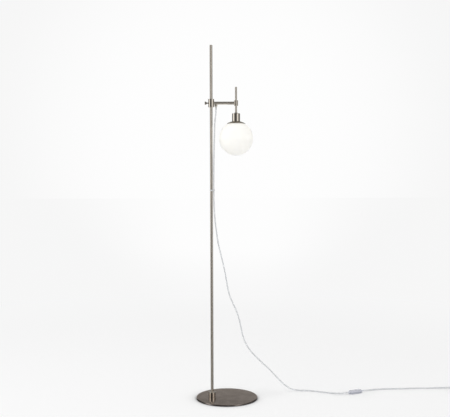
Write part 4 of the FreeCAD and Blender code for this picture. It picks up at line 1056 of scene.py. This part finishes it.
# %% Plug
plug_spot = Matrix.Translation(plug_at * MM) @ Matrix.Rotation(radians(-90), 4, "Z")
outline = [(20, -6), (23, -8.75), (42.7, -17.5), (51, -17.5), (54, -14.5), (54, 14.5),
           (51, 17.5), (42.7, 17.5), (23, 8.75), (20, 6)]
body = prism("plug_moulding", outline, -7, 7, 2.4)
fitted(moved(body, plug_spot), "stand", "switch_plastic", "plug_body")
boot = lathe("plug_boot", [
    (2.9, 0, 0.2), (3.4, 0, 0.3), (5.9, 21.5, 0), (2.9, 21.5, 0)], around=64)
boot.data.transform(plug_spot @ AXES["X"])
fitted(boot, "stand", "switch_plastic")
rings = grown("plug_boot_rings", relief_rings, {
    "Count": 7, "Pitch": 2.6, "First radius": 3.6, "Last radius": 5.5, "Thickness": 0.55,
    "Material": casing}, plug_spot @ AXES["X"] @ Matrix.Translation((0, 0, 0.0025)))
fitted(rings, "stand", "switch_plastic")
for side in (-1, 1):
    grip = grown(f"plug_grips_{'a' if side > 0 else 'b'}", ribs_in_a_row, {
        "Count": 5, "Spacing": 2.6, "Length": 9.0, "Thickness": 0.5, "Material": casing},
        plug_spot @ shift(28, 0, 6.75 * side + 0.25))
    fitted(grip, "stand", "switch_plastic")
    pin = lathe(f"plug_pin_{'a' if side > 0 else 'b'}", [
        (0, 54, 0), (2, 54, 0), (2, 72.9, 1.4), (0, 72.9, 0)], around=48)
    cover = lathe(f"pin_sleeve_{'a' if side > 0 else 'b'}", [
        (1.9, 54, 0), (2.0, 54, 0), (2.04, 64, 0.02), (1.9, 64, 0)], around=48)
    for piece, look, slot in ((pin, pin_nickel, "contact_brass"),
                              (cover, black, "black_plastic")):
        piece.data.transform(plug_spot @ shift(0, 9.5 * side, 0) @ AXES["X"])
        nodes = ["plug_pins"] if piece is pin and side < 0 else []
        fitted(piece, "stand", slot, *nodes, look=look)

# %% [markdown]
# ## The solids that stay
#
# Everything inside the lamp keeps its solid, and takes the finish that its record's slot names.

# %% Finishes for the solids
for part in frame["record"]["subparts"]:
    dressed(frame["nodes"][part["node"]], by_slot[part["material_slot"]])

# %% [markdown]
# ## Floor, light and world
#
# Dull surfaces are lit evenly from all round, with a brighter ring low down: light that comes in
# low gives the plate part of its soft contact shadow, and the floor's colour is darkened near
# the plate by its ambient occlusion, a painted contact shadow. Metal is different, because it
# shows the room. In this room the wall behind the lamp is white, a tall soft box stands on each
# side, and the camera's side and the ceiling are dim. That gives the tubes bright edges and a
# dark middle. One group holds the room's pattern by direction, and the world shows it to mirror
# rays only.

# %% The room's pattern
wiring, given, result = shader_group(
    "studio_room", [("Towards", "NodeSocketVector", (0, 1, 0))], ["Level", "Behind"])
way = wiring.add("ShaderNodeSeparateXYZ", {0: given.outputs[0]})
heading = wiring.calc("DIVIDE", wiring.calc("ARCTAN2", way.outputs[0], way.outputs[1]), 2 * pi)
around = wiring.calc("ADD", heading, 0.5)
ramp = wiring.add("ShaderNodeValToRGB", {0: around})
BRIGHTEST = 2.1
room_levels = [
    (-180, 0.10), (-165, 0.08), (-145, 0.10), (-130, 0.20), (-119, 0.9), (-110, 2.0),
    (-100, 1.6), (-88, 0.3), (-60, 0.14), (-30, 0.18), (-18, 0.9), (18, 0.9), (30, 0.16),
    (60, 0.15), (85, 0.25), (100, 0.38), (120, 0.5), (131, 1.3), (144, 1.4), (154, 0.4),
    (166, 0.20), (180, 0.10),
]
while len(ramp.color_ramp.elements) < len(room_levels):
    ramp.color_ramp.elements.new(0.5)
for element, (degrees_round, level) in zip(ramp.color_ramp.elements, room_levels):
    element.position = degrees_round / 360 + 0.5
    element.color = (level / BRIGHTEST,) * 3 + (1,)
wiring.join(wiring.calc("MULTIPLY", ramp.outputs[0], BRIGHTEST), result.inputs["Level"])
sideways = wiring.calc("ABSOLUTE", heading)
wiring.join(wiring.calc("SUBTRACT", 1.0, wiring.span(sideways, 0.045, 0.085)),
            result.inputs["Behind"])
print("room pattern with", len(room_levels), "stops")


def ray_kinds(wiring):
    """Two masks: rays that see the background straight, and mirror rays."""
    seen = wiring.add("ShaderNodeLightPath")
    glossy = seen.outputs["Is Glossy Ray"]
    direct = wiring.calc("MAXIMUM", seen.outputs["Is Camera Ray"],
                         seen.outputs["Is Transmission Ray"])
    return direct, glossy


# %% Floor
floor = new_object("floor", bpy.data.meshes.new("floor"))
floor.data.from_pydata([(-40, -40, 0), (40, -40, 0), (40, 40, 0), (-40, 40, 0)], [],
                       [(0, 1, 2, 3)])
pale = bpy.data.materials.new("pale_floor")
wiring = fresh(pale)
direct, glossy = ray_kinds(wiring)
place = wiring.place()
parts = wiring.add("ShaderNodeSeparateXYZ", {0: place})
away = wiring.add("ShaderNodeVectorMath", {0: place}, operation="LENGTH").outputs["Value"]
deep = wiring.span(parts.outputs[1], 0.8, 8.0)
slant = wiring.calc("DIVIDE", wiring.calc("ABSOLUTE", parts.outputs[0]),
                    wiring.calc("MAXIMUM", parts.outputs[1], 0.5))
middle = wiring.calc("SUBTRACT", 1.0, wiring.span(slant, 0.05, 0.28))
tone = wiring.calc("MULTIPLY_ADD", wiring.calc("MULTIPLY", deep, middle), 0.06, 0.925)
# Painted contact shadow: near the plate the floor's colour darkens with ambient occlusion raised
# to a power.
contact_shade_ao = wiring.add("ShaderNodeAmbientOcclusion", {"Distance": 0.12}, samples=12)
near_plate = wiring.calc("SUBTRACT", 1.0, wiring.span(away, 0.17, 0.28))
shaded = wiring.calc("POWER", contact_shade_ao.outputs["AO"], wiring.calc("MULTIPLY", near_plate, 2.2))
paper = wiring.blended(shaded, (0, 0, 0, 1), (0.92, 0.92, 0.92, 1))
lit = wiring.add("ShaderNodeBsdfDiffuse", {"Color": paper})
glow = wiring.add("ShaderNodeEmission", {"Color": (1, 1, 1, 1), "Strength": tone})
white_ray = wiring.calc("MAXIMUM", direct, glossy)
far = wiring.calc("MULTIPLY", wiring.span(away, 1.0, 3.0), white_ray)
mixed = wiring.add("ShaderNodeMixShader", {0: far, 1: lit.outputs[0], 2: glow.outputs[0]})
wiring.add("ShaderNodeOutputMaterial", {"Surface": mixed.outputs[0]})
floor.data.materials.append(pale)
floor.visible_glossy = False

# %% World
world = bpy.data.worlds.new("studio")
scene.world = world
wiring = fresh(world)
direct, glossy = ray_kinds(wiring)
towards = wiring.add("ShaderNodeTexCoord").outputs["Generated"]
height = wiring.add("ShaderNodeSeparateXYZ", {0: towards}).outputs[2]


def between(low, high):
    """0 to 1 as the direction rises, or sinks, from one angle to the other."""
    return wiring.span(height, sin(radians(low)), sin(radians(high)))


room = wiring.group("studio_room", {"Towards": towards})

beside = wiring.calc("SUBTRACT", 1.0, room.outputs["Behind"])
lowered = wiring.calc("MULTIPLY_ADD", beside, -0.32, height)
ceiling = wiring.span(lowered, sin(radians(10)), sin(radians(16)))
ceiling_level = wiring.calc("MULTIPLY_ADD", height, 0.15, 0.165)
ground = between(-18, -30)
downward = between(-2, -12)
contrast = wiring.calc("MULTIPLY", wiring.calc("POWER", room.outputs["Level"], 1.5), 0.55)
level = wiring.toward(downward, room.outputs["Level"], contrast)
level = wiring.toward(ceiling, level, ceiling_level)
level = wiring.toward(ground, level, 0.6)
mirrored = wiring.add("ShaderNodeBackground", {"Color": (1, 0.975, 0.94, 1), "Strength": level})

ring = wiring.calc("SUBTRACT", between(3, 6), between(12, 16))
overhead = wiring.calc("MULTIPLY_ADD", wiring.calc("MAXIMUM", height, 0.0), 0.84, 0.23)
soft = wiring.calc("MULTIPLY_ADD", ring, 2.9, overhead)
even = wiring.add("ShaderNodeBackground", {"Color": (1, 1, 1, 1), "Strength": soft})

aim = Vector((0, cos(radians(4)), sin(radians(4))))
facing = wiring.add("ShaderNodeVectorMath", {0: towards, 1: aim}, operation="DOT_PRODUCT")
centre = wiring.span(facing.outputs["Value"], cos(radians(18)), cos(radians(2)))
tone = wiring.calc("MULTIPLY_ADD", centre, 0.065, 0.925)
white = wiring.add("ShaderNodeBackground", {"Color": (1, 1, 1, 1), "Strength": tone})

lights = wiring.add("ShaderNodeMixShader", {
    0: glossy, 1: even.outputs[0], 2: mirrored.outputs[0]})
low = wiring.calc("SUBTRACT", 1.0, ceiling)
white_ray = wiring.calc("MAXIMUM", direct, wiring.calc(
    "MULTIPLY", glossy, wiring.calc("MULTIPLY", room.outputs["Behind"], low)))
view = wiring.add("ShaderNodeMixShader", {0: white_ray, 1: lights.outputs[0],
                                          2: white.outputs[0]})
wiring.add("ShaderNodeOutputWorld", {"Surface": view.outputs[0]})

# %% Lamp
lamp = bpy.data.objects.new("soft_lamp", bpy.data.lights.new("soft_lamp", "AREA"))
scene.collection.objects.link(lamp)
lamp.data.shape = "DISK"
lamp.data.size = 2.5
lamp.data.energy = 14
lamp.location = (-1.6, -1.2, 3.2)
lamp.rotation_euler = (Vector((0, 0, 0.8)) - lamp.location).to_track_quat("-Z", "Y").to_euler()
lamp.visible_glossy = False
